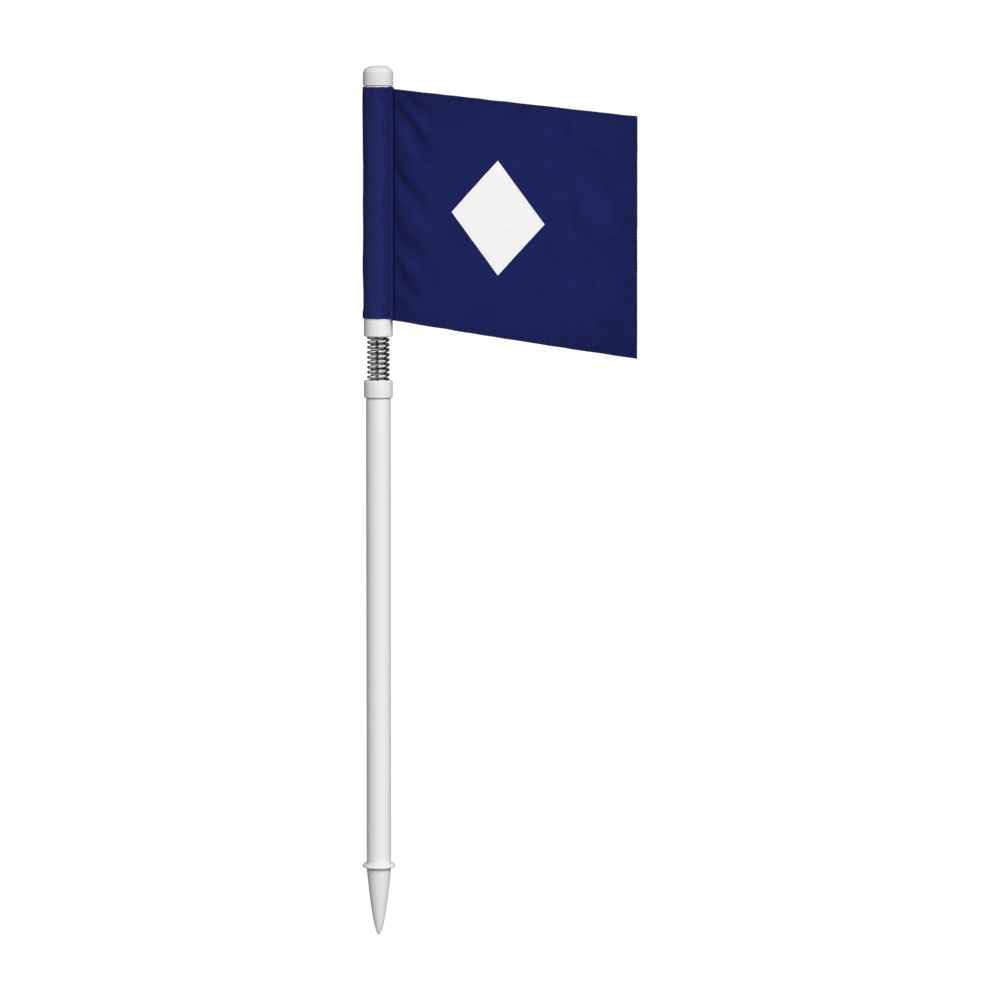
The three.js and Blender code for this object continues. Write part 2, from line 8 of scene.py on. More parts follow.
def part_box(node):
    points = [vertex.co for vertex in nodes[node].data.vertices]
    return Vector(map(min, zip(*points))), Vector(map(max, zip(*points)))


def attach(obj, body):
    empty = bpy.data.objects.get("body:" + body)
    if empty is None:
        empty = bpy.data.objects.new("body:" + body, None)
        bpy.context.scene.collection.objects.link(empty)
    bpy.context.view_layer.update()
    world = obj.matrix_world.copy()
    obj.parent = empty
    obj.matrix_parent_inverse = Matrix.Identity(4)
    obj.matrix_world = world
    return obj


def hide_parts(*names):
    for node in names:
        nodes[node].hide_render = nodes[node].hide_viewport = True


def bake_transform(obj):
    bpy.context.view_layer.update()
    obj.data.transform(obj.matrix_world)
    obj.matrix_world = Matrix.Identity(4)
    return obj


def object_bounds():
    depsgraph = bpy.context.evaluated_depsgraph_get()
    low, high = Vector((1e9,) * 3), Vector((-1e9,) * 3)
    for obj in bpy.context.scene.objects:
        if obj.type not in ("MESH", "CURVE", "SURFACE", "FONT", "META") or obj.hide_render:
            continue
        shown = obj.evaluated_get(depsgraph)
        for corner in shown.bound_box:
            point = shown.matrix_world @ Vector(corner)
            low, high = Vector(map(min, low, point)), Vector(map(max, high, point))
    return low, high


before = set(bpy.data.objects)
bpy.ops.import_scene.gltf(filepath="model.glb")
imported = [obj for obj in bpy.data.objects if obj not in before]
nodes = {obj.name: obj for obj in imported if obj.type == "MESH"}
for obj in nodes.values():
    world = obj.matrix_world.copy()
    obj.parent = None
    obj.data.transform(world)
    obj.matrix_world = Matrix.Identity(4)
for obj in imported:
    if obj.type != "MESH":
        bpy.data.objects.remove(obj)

cad_low, cad_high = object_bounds()

# Lengths are in millimetres up to the mesh builders, which turn them into metres. Patterns, lamps,
# cards and the camera's place are given in metres.
METRES = 0.001

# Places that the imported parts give.
COLLAR_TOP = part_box("lower_collar")[1].z / METRES
TUBE_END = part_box("upper_tube")[0].z / METRES
UPPER_TUBE_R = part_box("upper_tube")[1].x / METRES
SLEEVE_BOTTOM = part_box("flag_sleeve")[0].z / METRES
SLEEVE_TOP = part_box("flag_sleeve")[1].z / METRES
PANEL_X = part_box("flag_panel")[0].x / METRES
PANEL_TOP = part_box("flag_panel")[1].z / METRES

# Sizes of the springs.
OUTER_WIRE = 5.8
OUTER_COIL_R = 18.3
OUTER_START_DEG = 222
OUTER_OPEN_TURNS = 9.125
OUTER_CLOSED_TURNS = 1.25
OUTER_CLOSED_PITCH = 6.4
INNER_WIRE = 3
INNER_COIL_R = 13.3
INNER_START_DEG = 42
INNER_TURNS = 29
OUTER_STEPS = 64
INNER_STEPS = 48
OUTER_SIDES = 20
INNER_SIDES = 12
LEG_WIRES = 1.5

# Sizes of the cloth.
CLOTH = 0.5
LAYER_GAP = 0.12
SLEEVE_SLACK = 0.5
SEAM_STANDOFF = 4
SEAM_FLANGE = 7
PANEL_LENGTH = 577.4
PANEL_HEIGHT = 427
PANEL_DROP = 47
FLY_LEAN = 2
SEAM_X = UPPER_TUBE_R + SEAM_STANDOFF
FLANGE_END_X = SEAM_X + SEAM_FLANGE
FREE_FROM = FLANGE_END_X - PANEL_X
GRID = 3
FINE_GRID = 1.1
HEM_TOP = 14
HEM_BOTTOM = 17
HEM_FLY = 20
HEM_INSET = 0.25
TOP_ROWS = (5.5, 12)
BOTTOM_ROWS = (4, 14)
FLY_ROWS = (5.9, 17.5)
BILLOW = 3.2


def add_object(name, data):
    thing = bpy.data.objects.new(name, data)
    bpy.context.scene.collection.objects.link(thing)
    return thing


# Node trees.


def add_node(tree, kind, inputs=None, **settings):
    """A new node, its settings made and each named or numbered input set or linked."""
    node = tree.nodes.new(kind)
    for key, value in settings.items():
        setattr(node, key, value)
    for key, value in (inputs or {}).items():
        if isinstance(value, bpy.types.NodeSocket):
            tree.links.new(value, node.inputs[key])
        else:
            node.inputs[key].default_value = value
    return node


def maths(tree, operation, *values):
    return add_node(tree, "ShaderNodeMath", dict(enumerate(values)), operation=operation).outputs[0]


def weighed(tree, first, first_share, second, second_share):
    """Two values, each times its own share, added up."""
    rest = maths(tree, "MULTIPLY", second, second_share)
    return maths(tree, "MULTIPLY_ADD", first, first_share, rest)


def new_group(name, inputs, outputs, kind="ShaderNodeTree"):
    """A node group with named inputs and outputs, its input node's and output node's sockets."""
    tree = bpy.data.node_groups.new(name, kind)
    for label, socket, default in inputs:
        made = tree.interface.new_socket(label, in_out="INPUT", socket_type="NodeSocket" + socket)
        if default is not None:
            made.default_value = default
    for label, socket in outputs:
        tree.interface.new_socket(label, in_out="OUTPUT", socket_type="NodeSocket" + socket)
    return tree, tree.nodes.new("NodeGroupInput").outputs, tree.nodes.new("NodeGroupOutput").inputs


def noise(tree, vector, scale, detail=2.0, roughness=0.5):
    inputs = {"Vector": vector, "Scale": scale, "Detail": detail, "Roughness": roughness}
    return add_node(tree, "ShaderNodeTexNoise", inputs).outputs["Fac"]


def stretched(tree, vector, scale):
    """The same coordinates, drawn out or pressed together along each axis."""
    return add_node(tree, "ShaderNodeMapping", {"Vector": vector, "Scale": scale}).outputs[0]


def axes(tree, vector):
    return add_node(tree, "ShaderNodeSeparateXYZ", {0: vector}).outputs


def between(tree, value, low, high, out_low=0.0, out_high=1.0):
    inputs = {"Value": value, 1: low, 2: high, 3: out_low, 4: out_high}
    return add_node(tree, "ShaderNodeMapRange", inputs, interpolation_type="SMOOTHSTEP").outputs[0]


def fading(tree, value, low, high, start=1.0):
    """The start value up to low, from there falling to 0 at high."""
    return between(tree, value, low, high, start, 0.0)


def mixed(tree, share, first, second):
    node = add_node(tree, "ShaderNodeMix", {0: share}, data_type="RGBA")
    for socket, value in ((node.inputs[6], first), (node.inputs[7], second)):
        if isinstance(value, bpy.types.NodeSocket):
            tree.links.new(value, socket)
        else:
            socket.default_value = (*value, 1.0)
    return node.outputs[2]


# Shared surface effects. A pattern's scale says how often it repeats over a metre.
DRAWING_LINES = (900.0, 900.0, 6.0)
SLUB_LONG = 40.0
SLUB_THIN = 1100.0


def moulded_surface():
    """Plastic skin: cloudy tint, fine grain and faint lines along the axis."""
    tree, given, out = new_group(
        "moulded surface",
        [
            ("Vector", "Vector", None),
            ("Grain Size", "Float", 0.0012),
            ("Streaks", "Float", 0.5),
        ],
        [("Tint", "Float"), ("Gloss Loss", "Float"), ("Height", "Float")],
    )
    clouds = noise(tree, given["Vector"], scale=38.0, detail=4.0, roughness=0.6)
    grain = noise(tree, given["Vector"], maths(tree, "DIVIDE", 1.0, given["Grain Size"]))
    lines = noise(tree, stretched(tree, given["Vector"], DRAWING_LINES), scale=1.0, detail=3.0)
    streaks = maths(tree, "MULTIPLY", lines, given["Streaks"])
    tint = weighed(tree, streaks, 0.3, clouds, 0.6)
    tree.links.new(between(tree, tint, low=0.2, high=0.6), out["Tint"])
    tree.links.new(weighed(tree, grain, 0.5, clouds, 0.5), out["Gloss Loss"])
    tree.links.new(maths(tree, "MULTIPLY_ADD", streaks, 0.5, grain), out["Height"])
    return tree


def drawn_metal():
    """Metal skin: faint lines left by drawing and small dull patches."""
    tree, given, out = new_group(
        "drawn metal",
        [("Vector", "Vector", None), ("Scale", "Float", 700.0)],
        [("Dull", "Float"), ("Height", "Float")],
    )
    fine = noise(tree, given["Vector"], given["Scale"], detail=3.0, roughness=0.6)
    patches = noise(tree, given["Vector"], scale=90.0, detail=3.0, roughness=0.55)
    tree.links.new(between(tree, patches, low=0.35, high=0.7), out["Dull"])
    tree.links.new(fine, out["Height"])
    return tree


def plain_weave():
    """Plain weave on a cloth's own flat coordinates, in metres, with slubs in the yarn."""
    tree, given, out = new_group(
        "plain weave",
        [("Vector", "Vector", None), ("Yarn Pitch", "Float", 0.0005)],
        [("Height", "Float"), ("Slub", "Float")],
    )
    parts = axes(tree, given["Vector"])
    turn = maths(tree, "DIVIDE", math.pi, given["Yarn Pitch"])
    across = maths(tree, "MULTIPLY", parts["X"], turn)
    down = maths(tree, "MULTIPLY", parts["Y"], turn)
    over = maths(tree, "MULTIPLY", maths(tree, "SINE", across), maths(tree, "SINE", down))
    warp = maths(tree, "ABSOLUTE", maths(tree, "SINE", across))
    weft = maths(tree, "ABSOLUTE", maths(tree, "SINE", down))
    share = maths(tree, "MULTIPLY_ADD", over, 0.5, 0.5)
    weft_share = maths(tree, "MULTIPLY", weft, maths(tree, "SUBTRACT", 1.0, share))
    tree.links.new(maths(tree, "MULTIPLY_ADD", warp, share, weft_share), out["Height"])
    slubs = []
    for drawn_out in ((SLUB_LONG, SLUB_THIN, 1.0), (SLUB_THIN, SLUB_LONG, 1.0)):
        slubs.append(noise(tree, stretched(tree, given["Vector"], drawn_out), scale=1.0))
    tree.links.new(weighed(tree, slubs[0], 0.5, slubs[1], 0.5), out["Slub"])
    return tree


def lozenge_mask():
    """1 inside a lozenge on flat coordinates, 0 outside, with a narrow soft edge."""
    tree, given, out = new_group(
        "lozenge mask",
        [
            ("Vector", "Vector", None),
            ("Centre X", "Float", 0.259),
            ("Centre Y", "Float", 0.211),
            ("Half Width", "Float", 0.11),
            ("Half Height", "Float", 0.1035),
        ],
        [("Mask", "Float")],
    )
    parts = axes(tree, given["Vector"])
    reach = []
    for axis, size in (("X", "Half Width"), ("Y", "Half Height")):
        offset = maths(tree, "SUBTRACT", parts[axis], given["Centre " + axis])
        reach.append(maths(tree, "DIVIDE", maths(tree, "ABSOLUTE", offset), given[size]))
    distance = maths(tree, "ADD", *reach)
    tree.links.new(fading(tree, distance, low=0.995, high=1.005), out["Mask"])
    return tree


def row_shade():
    """1 along the sewn rows of the hems on flat coordinates: the mask for painted shade in the grooves
    where the cloth is drawn in.
    """
    tree, given, out = new_group(
        "row shade",
        [("Vector", "Vector", None), ("Half Width", "Float", 0.0016), ("Hem Shade Share", "Float", 0.6)],
        [("Mask", "Float")],
    )
    parts = axes(tree, given["Vector"])
    lines = [("Y", row) for row in TOP_ROWS] + [("Y", PANEL_HEIGHT - row) for row in BOTTOM_ROWS]
    lines += [("X", PANEL_LENGTH - row) for row in FLY_ROWS]
    mask = 0.0
    for axis, row in lines:
        offset = maths(tree, "ABSOLUTE", maths(tree, "SUBTRACT", parts[axis], row * METRES))
        depth = given["Hem Shade Share"] if axis == "Y" else 1.0
        reach = maths(tree, "DIVIDE", offset, given["Half Width"])
        near = fading(tree, reach, low=0.3, high=1.0, start=depth)
        mask = maths(tree, "MAXIMUM", mask, near)
    tree.links.new(mask, out["Mask"])
    return tree


MOULDED = moulded_surface()
DRAWN = drawn_metal()
WEAVE = plain_weave()
LOZENGE = lozenge_mask()
ROW_SHADE = row_shade()


def use_group(tree, group, inputs):
    return add_node(tree, "ShaderNodeGroup", inputs, node_tree=group).outputs


def new_material(name, **constants):
    """A material with one Principled shader, whose constant values are set on its own sockets."""
    material = bpy.data.materials.new(name)
    material.use_nodes = True
    tree = material.node_tree
    shader = tree.nodes["Principled BSDF"]
    for key, value in constants.items():
        shader.inputs[key.replace("_", " ")].default_value = value
    place = add_node(tree, "ShaderNodeTexCoord").outputs
    return material, tree, shader.inputs, place


def bump(tree, height, strength, distance):
    inputs = {"Height": height, "Strength": strength, "Distance": distance}
    return add_node(tree, "ShaderNodeBump", inputs).outputs["Normal"]


GLOSS_SPREAD = 0.16
DULL_SPREAD = 0.08


def plastic(name, light, dark, roughness, grain_size, streaks, specular):
    material, tree, shader, place = new_material(name, IOR=1.49, Specular_IOR_Level=specular)
    skin = use_group(
        tree,
        MOULDED,
        {"Vector": place["Object"], "Grain Size": grain_size, "Streaks": streaks},
    )
    tree.links.new(mixed(tree, skin["Tint"], dark, light), shader["Base Color"])
    smoothest = roughness - GLOSS_SPREAD / 2
    gloss = maths(tree, "MULTIPLY_ADD", skin["Gloss Loss"], GLOSS_SPREAD, smoothest)
    tree.links.new(gloss, shader["Roughness"])
    tree.links.new(bump(tree, skin["Height"], strength=0.25, distance=0.0001), shader["Normal"])
    return material


def steel(name, light, dark, roughness, line_scale, relief):
    material, tree, shader, place = new_material(name, Metallic=1.0)
    skin = use_group(tree, DRAWN, {"Vector": place["Object"], "Scale": line_scale})
    tree.links.new(mixed(tree, skin["Dull"], light, dark), shader["Base Color"])
    dull = maths(tree, "MULTIPLY_ADD", skin["Dull"], DULL_SPREAD, roughness)
    tree.links.new(dull, shader["Roughness"])
    tree.links.new(bump(tree, skin["Height"], relief, distance=0.00005), shader["Normal"])
    return material


NAVY_LIGHT = (0.0116, 0.0167, 0.1115)
NAVY_DARK = (0.0096, 0.0139, 0.0925)
# The sleeve's navy is the panel's cloth painted lighter and greyer: painted light and sheen for the
# light that the sleeve gets.
SLEEVE_LIT_NAVY_LIGHT = (0.0158, 0.0216, 0.121)
SLEEVE_LIT_NAVY_DARK = (0.0125, 0.0173, 0.099)
PRINT_WHITE = (0.93, 0.93, 0.93)
PRINT_COVER = 0.98
CLOTH_ROUGHNESS = 0.62
SLUB_ROUGHNESS = 0.2
PRINT_GLOSS = 0.12
THREAD_ROUGHNESS = 0.5
TWIST_ROUGHNESS = 0.15
THREAD_DARK = (0.030, 0.044, 0.290)
THREAD_LIGHT = (0.052, 0.072, 0.410)
# How bright the cloth stays under each painted shade, along the sewn rows, in the crease beyond the
# seam and next to the sleeve's seam, beside its own colour.
ROW_SHADE_DEPTH = 0.25
HEM_ROW_SHADE_SHARE = 0.6
CREASE_SHADE_DEPTH = 0.3
SEAM_SHADE_DEPTH = 0.7
SEAM_DEEP_SHADE = 0.55
# The place of the painted crease shade beyond the seam's edge, in millimetres.
CREASE_X = 1.2
# Where each painted shade starts to fade and where it ends, in metres.
CREASE_SHADE_FADE = (0.0006, 0.0022)
SEAM_SHADE_FADE = (0.012, 0.023)
NEAR_SEAM_SHADE_FADE = (0.002, 0.0065)
FLANGE_EDGE = (-0.0003, 0.0008)
SEAM_SHADE_PATCHES = 0.008


def cloth(name, light, dark, sewn=False, printed=False, girth=0.0):
    """Woven navy cloth. Sewn cloth has painted shade along its sewn rows. The panel has a plain white
    lozenge printed on it and painted shade in a crease beyond the seam, and cloth with a girth is a
    sleeve, with painted shade next to its seam."""
    material, tree, shader, place = new_material(name, IOR=1.45, Specular_IOR_Level=0.1)
    weave = use_group(tree, WEAVE, {"Vector": place["UV"]})
    drift = noise(tree, place["UV"], scale=14.0, detail=3.0, roughness=0.55)
    blotch = noise(tree, place["UV"], scale=70.0)
    tone = weighed(tree, drift, 0.5, blotch, 0.2)
    tone = maths(tree, "MULTIPLY_ADD", weave["Slub"], 0.3, tone)
    colour = mixed(tree, between(tree, tone, low=0.35, high=0.65), dark, light)
    rough = maths(tree, "MULTIPLY_ADD", weave["Slub"], SLUB_ROUGHNESS, CLOTH_ROUGHNESS)
    # Painted shade along the sewn rows of the hems.
    if sewn:
        rows = {"Vector": place["UV"], "Hem Shade Share": HEM_ROW_SHADE_SHARE}
        shade = use_group(tree, ROW_SHADE, rows)["Mask"]
        colour = mixed(tree, shade, colour, tuple(value * ROW_SHADE_DEPTH for value in dark))
    if printed or girth:
        across = axes(tree, place["UV"])["X"]
    # Painted shade in a narrow crease just beyond the seam's flange.
    if printed:
        offset = maths(tree, "SUBTRACT", across, (FREE_FROM + CREASE_X) * METRES)
        crease_shade = fading(tree, maths(tree, "ABSOLUTE", offset), *CREASE_SHADE_FADE)
        colour = mixed(tree, crease_shade, colour, tuple(value * CREASE_SHADE_DEPTH for value in dark))
    # Painted shade next to the sleeve's seam, patchy at its edge and darker close beside the flange,
    # which stays unshaded.
    if girth:
        side = maths(tree, "MINIMUM", across, maths(tree, "SUBTRACT", girth * METRES, across))
        side = maths(tree, "SUBTRACT", side, SEAM_FLANGE * METRES)
        patchy = maths(tree, "MULTIPLY_ADD", blotch, SEAM_SHADE_PATCHES, side)
        off_flange = between(tree, side, *FLANGE_EDGE)
        seam_shade = fading(tree, patchy, *SEAM_SHADE_FADE)
        near_seam_shade = fading(tree, side, *NEAR_SEAM_SHADE_FADE)
        for shade_share, left in ((seam_shade, SEAM_SHADE_DEPTH), (near_seam_shade, SEAM_DEEP_SHADE)):
            shade_share = maths(tree, "MULTIPLY", shade_share, off_flange)
            colour = mixed(tree, shade_share, colour, tuple(value * left for value in light))
    if printed:
        mask = use_group(tree, LOZENGE, {"Vector": place["UV"]})["Mask"]
        cover = maths(tree, "MULTIPLY_ADD", weave["Height"], 1 - PRINT_COVER, PRINT_COVER)
        ink = maths(tree, "MULTIPLY", mask, cover)
        colour = mixed(tree, ink, colour, PRINT_WHITE)
        rough = maths(tree, "MULTIPLY_ADD", mask, -PRINT_GLOSS, rough)
    tree.links.new(colour, shader["Base Color"])
    tree.links.new(rough, shader["Roughness"])
    creases = noise(tree, place["UV"], scale=55.0, detail=3.0)
    soft = bump(tree, creases, strength=0.25, distance=0.0012)
    fine = add_node(
        tree,
        "ShaderNodeBump",
        {"Height": weave["Height"], "Strength": 0.2, "Distance": 0.00008, "Normal": soft},
    )
    tree.links.new(fine.outputs["Normal"], shader["Normal"])
    return material


MOULDED_FINISH = {"roughness": 0.46, "grain_size": 0.0011, "streaks": 0.15, "specular": 0.3}
WHITE_TUBE = plastic(
    "white tube",
    light=(0.80, 0.80, 0.797),
    dark=(0.78, 0.78, 0.775),
    roughness=0.42,
    grain_size=0.0009,
    streaks=0.4,
    specular=0.3,
)
WHITE_MOULDING = plastic(
    "white moulding",
    light=(0.79, 0.79, 0.787),
    dark=(0.765, 0.765, 0.76),
    **MOULDED_FINISH,
)
WHITE_CAP = plastic(
    "white cap moulding",
    light=(0.735, 0.735, 0.73),
    dark=(0.71, 0.71, 0.705),
    **MOULDED_FINISH,
)
BLACK_NYLON = plastic(
    "black nylon",
    light=(0.030, 0.030, 0.034),
    dark=(0.020, 0.020, 0.023),
    roughness=0.5,
    grain_size=0.0008,
    streaks=0.1,
    specular=0.4,
)
BRIGHT_STEEL = steel(
    "bright spring steel",
    light=(0.97, 0.97, 0.96),
    dark=(0.90, 0.90, 0.89),
    roughness=0.06,
    line_scale=900.0,
    relief=0.04,
)
# Inner spring: the same spring steel painted darker, as painted shade inside the outer coil.
SHADED_INNER_STEEL = steel(
    "inner spring steel darkened as painted shade",
    light=(0.54, 0.54, 0.54),
    dark=(0.42, 0.42, 0.42),
    roughness=0.12,
    line_scale=900.0,
    relief=0.05,
)
PIN_STEEL = steel(
    "plain steel",
    light=(0.62, 0.63, 0.65),
    dark=(0.50, 0.51, 0.53),
    roughness=0.32,
    line_scale=700.0,
    relief=0.12,
)
PANEL_CLOTH = cloth("printed navy cloth", NAVY_LIGHT, NAVY_DARK, sewn=True, printed=True)
HEM_CLOTH = cloth("navy hem cloth", NAVY_LIGHT, NAVY_DARK, sewn=True)


def sewing_thread():
    material, tree, shader, place = new_material("blue thread", IOR=1.45, Specular_IOR_Level=0.35)
    twist = noise(tree, place["Object"], scale=2600.0)
    tree.links.new(mixed(tree, twist, THREAD_DARK, THREAD_LIGHT), shader["Base Color"])
    rough = maths(tree, "MULTIPLY_ADD", twist, TWIST_ROUGHNESS, THREAD_ROUGHNESS)
    tree.links.new(rough, shader["Roughness"])
    tree.links.new(bump(tree, twist, strength=0.4, distance=0.0001), shader["Normal"])
    return material


THREAD = sewing_thread()


# Geometry trees.


def new_shape(name, inputs):
    """A group that takes and gives geometry, with further named inputs."""
    inputs = [("Geometry", "Geometry", None), *inputs]
    return new_group(name, inputs, [("Geometry", "Geometry")], kind="GeometryNodeTree")


def smoothing_tree():
    """Merges a solid's loose triangles and shades it smooth, apart from its real edges."""
    tree, given, out = new_shape("merge and smooth", [("Edge Angle", "Float", 0.5)])
    plain = add_node(
        tree,
        "GeometryNodeRemoveAttribute",
        {"Geometry": given["Geometry"], "Name": "custom_normal"},
    )
    whole = add_node(
        tree,
        "GeometryNodeMergeByDistance",
        {"Geometry": plain.outputs[0], "Distance": 0.00001},
    )
    smooth = add_node(tree, "GeometryNodeSetShadeSmooth", {"Geometry": whole.outputs[0]}, domain="FACE")
    angle = add_node(tree, "GeometryNodeInputMeshEdgeAngle").outputs["Unsigned Angle"]
    sharp = add_node(
        tree,
        "FunctionNodeCompare",
        {0: angle, 1: given["Edge Angle"]},
        operation="GREATER_THAN",
    )
    edged = add_node(
        tree,
        "GeometryNodeSetShadeSmooth",
        {"Geometry": smooth.outputs[0], "Selection": sharp.outputs[0], "Shade Smooth": False},
        domain="EDGE",
    )
    tree.links.new(edged.outputs[0], out["Geometry"])
    return tree


def dress(tree, geometry, given, out):
    """A tree's end: every copy made real, shaded smooth and given its material."""
    whole = add_node(tree, "GeometryNodeRealizeInstances", {"Geometry": geometry})
    smooth = add_node(tree, "GeometryNodeSetShadeSmooth", {"Geometry": whole.outputs[0]})
    dressed = add_node(
        tree,
        "GeometryNodeSetMaterial",
        {"Geometry": smooth.outputs[0], "Material": given["Material"]},
    )
    tree.links.new(dressed.outputs[0], out["Geometry"])


def wire_tree():
    """A round wire along a path of edges, with closed ends."""
    tree, given, out = new_shape(
        "wire along path",
        [
            ("Wire Radius", "Float", 0.001),
            ("Sides", "Int", 12),
            ("Material", "Material", None),
        ],
    )
    line = add_node(tree, "GeometryNodeMeshToCurve", {"Mesh": given["Geometry"]})
    ring = add_node(
        tree,
        "GeometryNodeCurvePrimitiveCircle",
        {"Resolution": given["Sides"], "Radius": given["Wire Radius"]},
    )
    wire = add_node(
        tree,
        "GeometryNodeCurveToMesh",
        {"Curve": line.outputs[0], "Profile Curve": ring.outputs[0], "Fill Caps": True},
    )
    dress(tree, wire.outputs[0], given, out)
    return tree


# The shortest and the longest stitch, beside the stated length.
STITCH_UNEVENNESS = (0.86, 1.1)


def stitch_tree():
    """Short raised stitches, spaced along each path of edges."""
    tree, given, out = new_shape(
        "stitches along path",
        [
            ("Pitch", "Float", 0.0058),
            ("Stitch Length", "Float", 0.0038),
            ("Thread Width", "Float", 0.0007),
            ("Seed", "Int", 3),
            ("Material", "Material", None),
        ],
    )
    line = add_node(tree, "GeometryNodeMeshToCurve", {"Mesh": given["Geometry"]})
    points = add_node(tree, "GeometryNodeCurveToPoints", {"Curve": line.outputs[0]}, mode="LENGTH")
    tree.links.new(given["Pitch"], points.inputs["Length"])
    turn = add_node(
        tree,
        "FunctionNodeAlignRotationToVector",
        {"Vector": points.outputs["Tangent"]},
        axis="Z",
    )
    bead = add_node(tree, "GeometryNodeMeshUVSphere", {"Segments": 8, "Rings": 6, "Radius": 0.5})
    uneven = add_node(tree, "FunctionNodeRandomValue", data_type="FLOAT")
    uneven.inputs[2].default_value, uneven.inputs[3].default_value = STITCH_UNEVENNESS
    tree.links.new(given["Seed"], uneven.inputs["Seed"])
    length = maths(tree, "MULTIPLY", given["Stitch Length"], uneven.outputs[1])
    size = add_node(
        tree,
        "ShaderNodeCombineXYZ",
        {"X": given["Thread Width"], "Y": given["Thread Width"], "Z": length},
    )
    placed = add_node(
        tree,
        "GeometryNodeInstanceOnPoints",
        {
            "Points": points.outputs["Points"],
            "Instance": bead.outputs["Mesh"],
            "Rotation": turn.outputs[0],
            "Scale": size.outputs[0],
        },
    )
    dress(tree, placed.outputs[0], given, out)
    return tree


SMOOTHING = smoothing_tree()
WIRE = wire_tree()
STITCHES = stitch_tree()


def set_inputs(modifier, values):
    """Sets a modifier's inputs, given by name, through their sockets' identifiers."""
    for item in modifier.node_group.interface.items_tree:
        if item.item_type == "SOCKET" and item.in_out == "INPUT" and item.name in values:
            modifier[item.identifier] = values[item.name]


def grown(name, paths, tree, values):
    """A plain mesh piece that a tree makes along one or more paths of points."""
    points, edges = [], []
    for path in paths:
        edges.extend((len(points) + i, len(points) + i + 1) for i in range(len(path) - 1))
        points.extend(np.asarray(path) * METRES)
    mesh = bpy.data.meshes.new(name + "_path")
    mesh.from_pydata([tuple(p) for p in points], edges, [])
    guide = add_object(name + "_path", mesh)
    modifier = guide.modifiers.new("shape", "NODES")
    modifier.node_group = tree
    set_inputs(modifier, values)
    depsgraph = bpy.context.evaluated_depsgraph_get()
    made = bpy.data.meshes.new_from_object(guide.evaluated_get(depsgraph))
    bpy.data.objects.remove(guide)
    bpy.data.meshes.remove(mesh)
    made.name = name
    return add_object(name, made)


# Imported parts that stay.


FINISHES = (
    (WHITE_TUBE, ("lower_tube", "upper_tube")),
    (WHITE_MOULDING, ("ground_spike", "stop_ring", "lower_collar")),
    (WHITE_CAP, ("cap",)),
    (BLACK_NYLON, ("lower_plug", "upper_plug")),
    (PIN_STEEL, ("spike_pin", "lower_pin", "upper_pin")),
)
REAL_EDGE_DEG = 32

for finish, node_names in FINISHES:
    for node_name in node_names:
        node = nodes[node_name]
        for material_slot in node.material_slots:
            material_slot.material = finish
        smoothing = node.modifiers.new("merge and smooth", "NODES")
        smoothing.node_group = SMOOTHING
        set_inputs(smoothing, {"Edge Angle": math.radians(REAL_EDGE_DEG)})


# Springs.


def spring_line(coil_r, wire, start_deg, open_turns, closed_turns, closed_pitch, floor, roof, steps):
    """Centre line of a spring: a leg, closed turns, open turns, closed turns and a leg."""
    turns = open_turns + 2 * closed_turns
    low = floor + wire / 2
    high = roof - wire / 2
    open_pitch = (high - low - 2 * closed_turns * closed_pitch) / open_turns
    turn = np.linspace(0, turns, round(turns * steps) + 1)
    opened = np.clip(turn - closed_turns, 0, open_turns)
    height = low + (turn - opened) * closed_pitch + opened * open_pitch
    angle = math.radians(start_deg) + turn * 2 * math.pi
    line = np.column_stack([coil_r * np.cos(angle), coil_r * np.sin(angle), height])
    leg = np.array([0, 0, LEG_WIRES * wire])
    return np.vstack([line[0] - leg, line, line[-1] + leg])


def spring_ends(node_name, wire):
    """Heights of a spring's floor and roof, one wire inside the ends of its legs."""
    low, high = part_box(node_name)
    return low.z / METRES + wire, high.z / METRES - wire


MID_SPRING = (COLLAR_TOP + TUBE_END) / 2
outer_line = spring_line(
    OUTER_COIL_R,
    OUTER_WIRE,
    OUTER_START_DEG,
    OUTER_OPEN_TURNS,
    OUTER_CLOSED_TURNS,
    OUTER_CLOSED_PITCH,
    *spring_ends("outer_spring", OUTER_WIRE),
    OUTER_STEPS,
)
inner_line = spring_line(
    INNER_COIL_R,
    INNER_WIRE,
    INNER_START_DEG,
    INNER_TURNS,
    0,
    INNER_WIRE,
    *spring_ends("inner_spring", INNER_WIRE),
    INNER_STEPS,
)

for stem, line, wire, sides, finish in (
    ("outer_spring", outer_line, OUTER_WIRE, OUTER_SIDES, BRIGHT_STEEL),
    ("inner_spring", inner_line, INNER_WIRE, INNER_SIDES, SHADED_INNER_STEEL),
):
    split = int(np.argmax(line[:, 2] > MID_SPRING))
    values = {"Wire Radius": wire / 2 * METRES, "Sides": sides, "Material": finish}
    lower = grown(stem + "_lower_half", [line[: split + 1]], WIRE, values)
    upper = grown(stem + "_upper_half", [line[split:]], WIRE, values)
    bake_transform(lower)
    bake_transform(upper)
    for half in (lower, upper):
        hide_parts(stem)


# Cloth.


def smooth_step(value):
    value = np.clip(value, 0, 1)
    return value * value * (3 - 2 * value)


def rising(value, length, start=0.0):
    """0 up to the start, from there rising to 1 over a length."""
    return smooth_step((value - start) / length)


def falling(value, length, end):
    """1 up to a length before the end, from there falling to 0."""
    return smooth_step((end - value) / length)


WAVE_COUNT = 7
WAVE_LENGTHS = (0.7, 1.5)


def waves(across, down, size, seed):
    """Gentle uneven waves: a fixed sum of sines about one size, between about -1 and 1."""
    chance = np.random.default_rng(seed)
    total = np.zeros(np.broadcast(across, down).shape)
    for _ in range(WAVE_COUNT):
        heading = chance.uniform(0, math.pi)
        length = size * chance.uniform(*WAVE_LENGTHS)
        phase = chance.uniform(0, 2 * math.pi)
        along = across * math.cos(heading) + down * math.sin(heading)
        total = total + np.sin(2 * math.pi * along / length + phase)
    return total / math.sqrt(WAVE_COUNT)


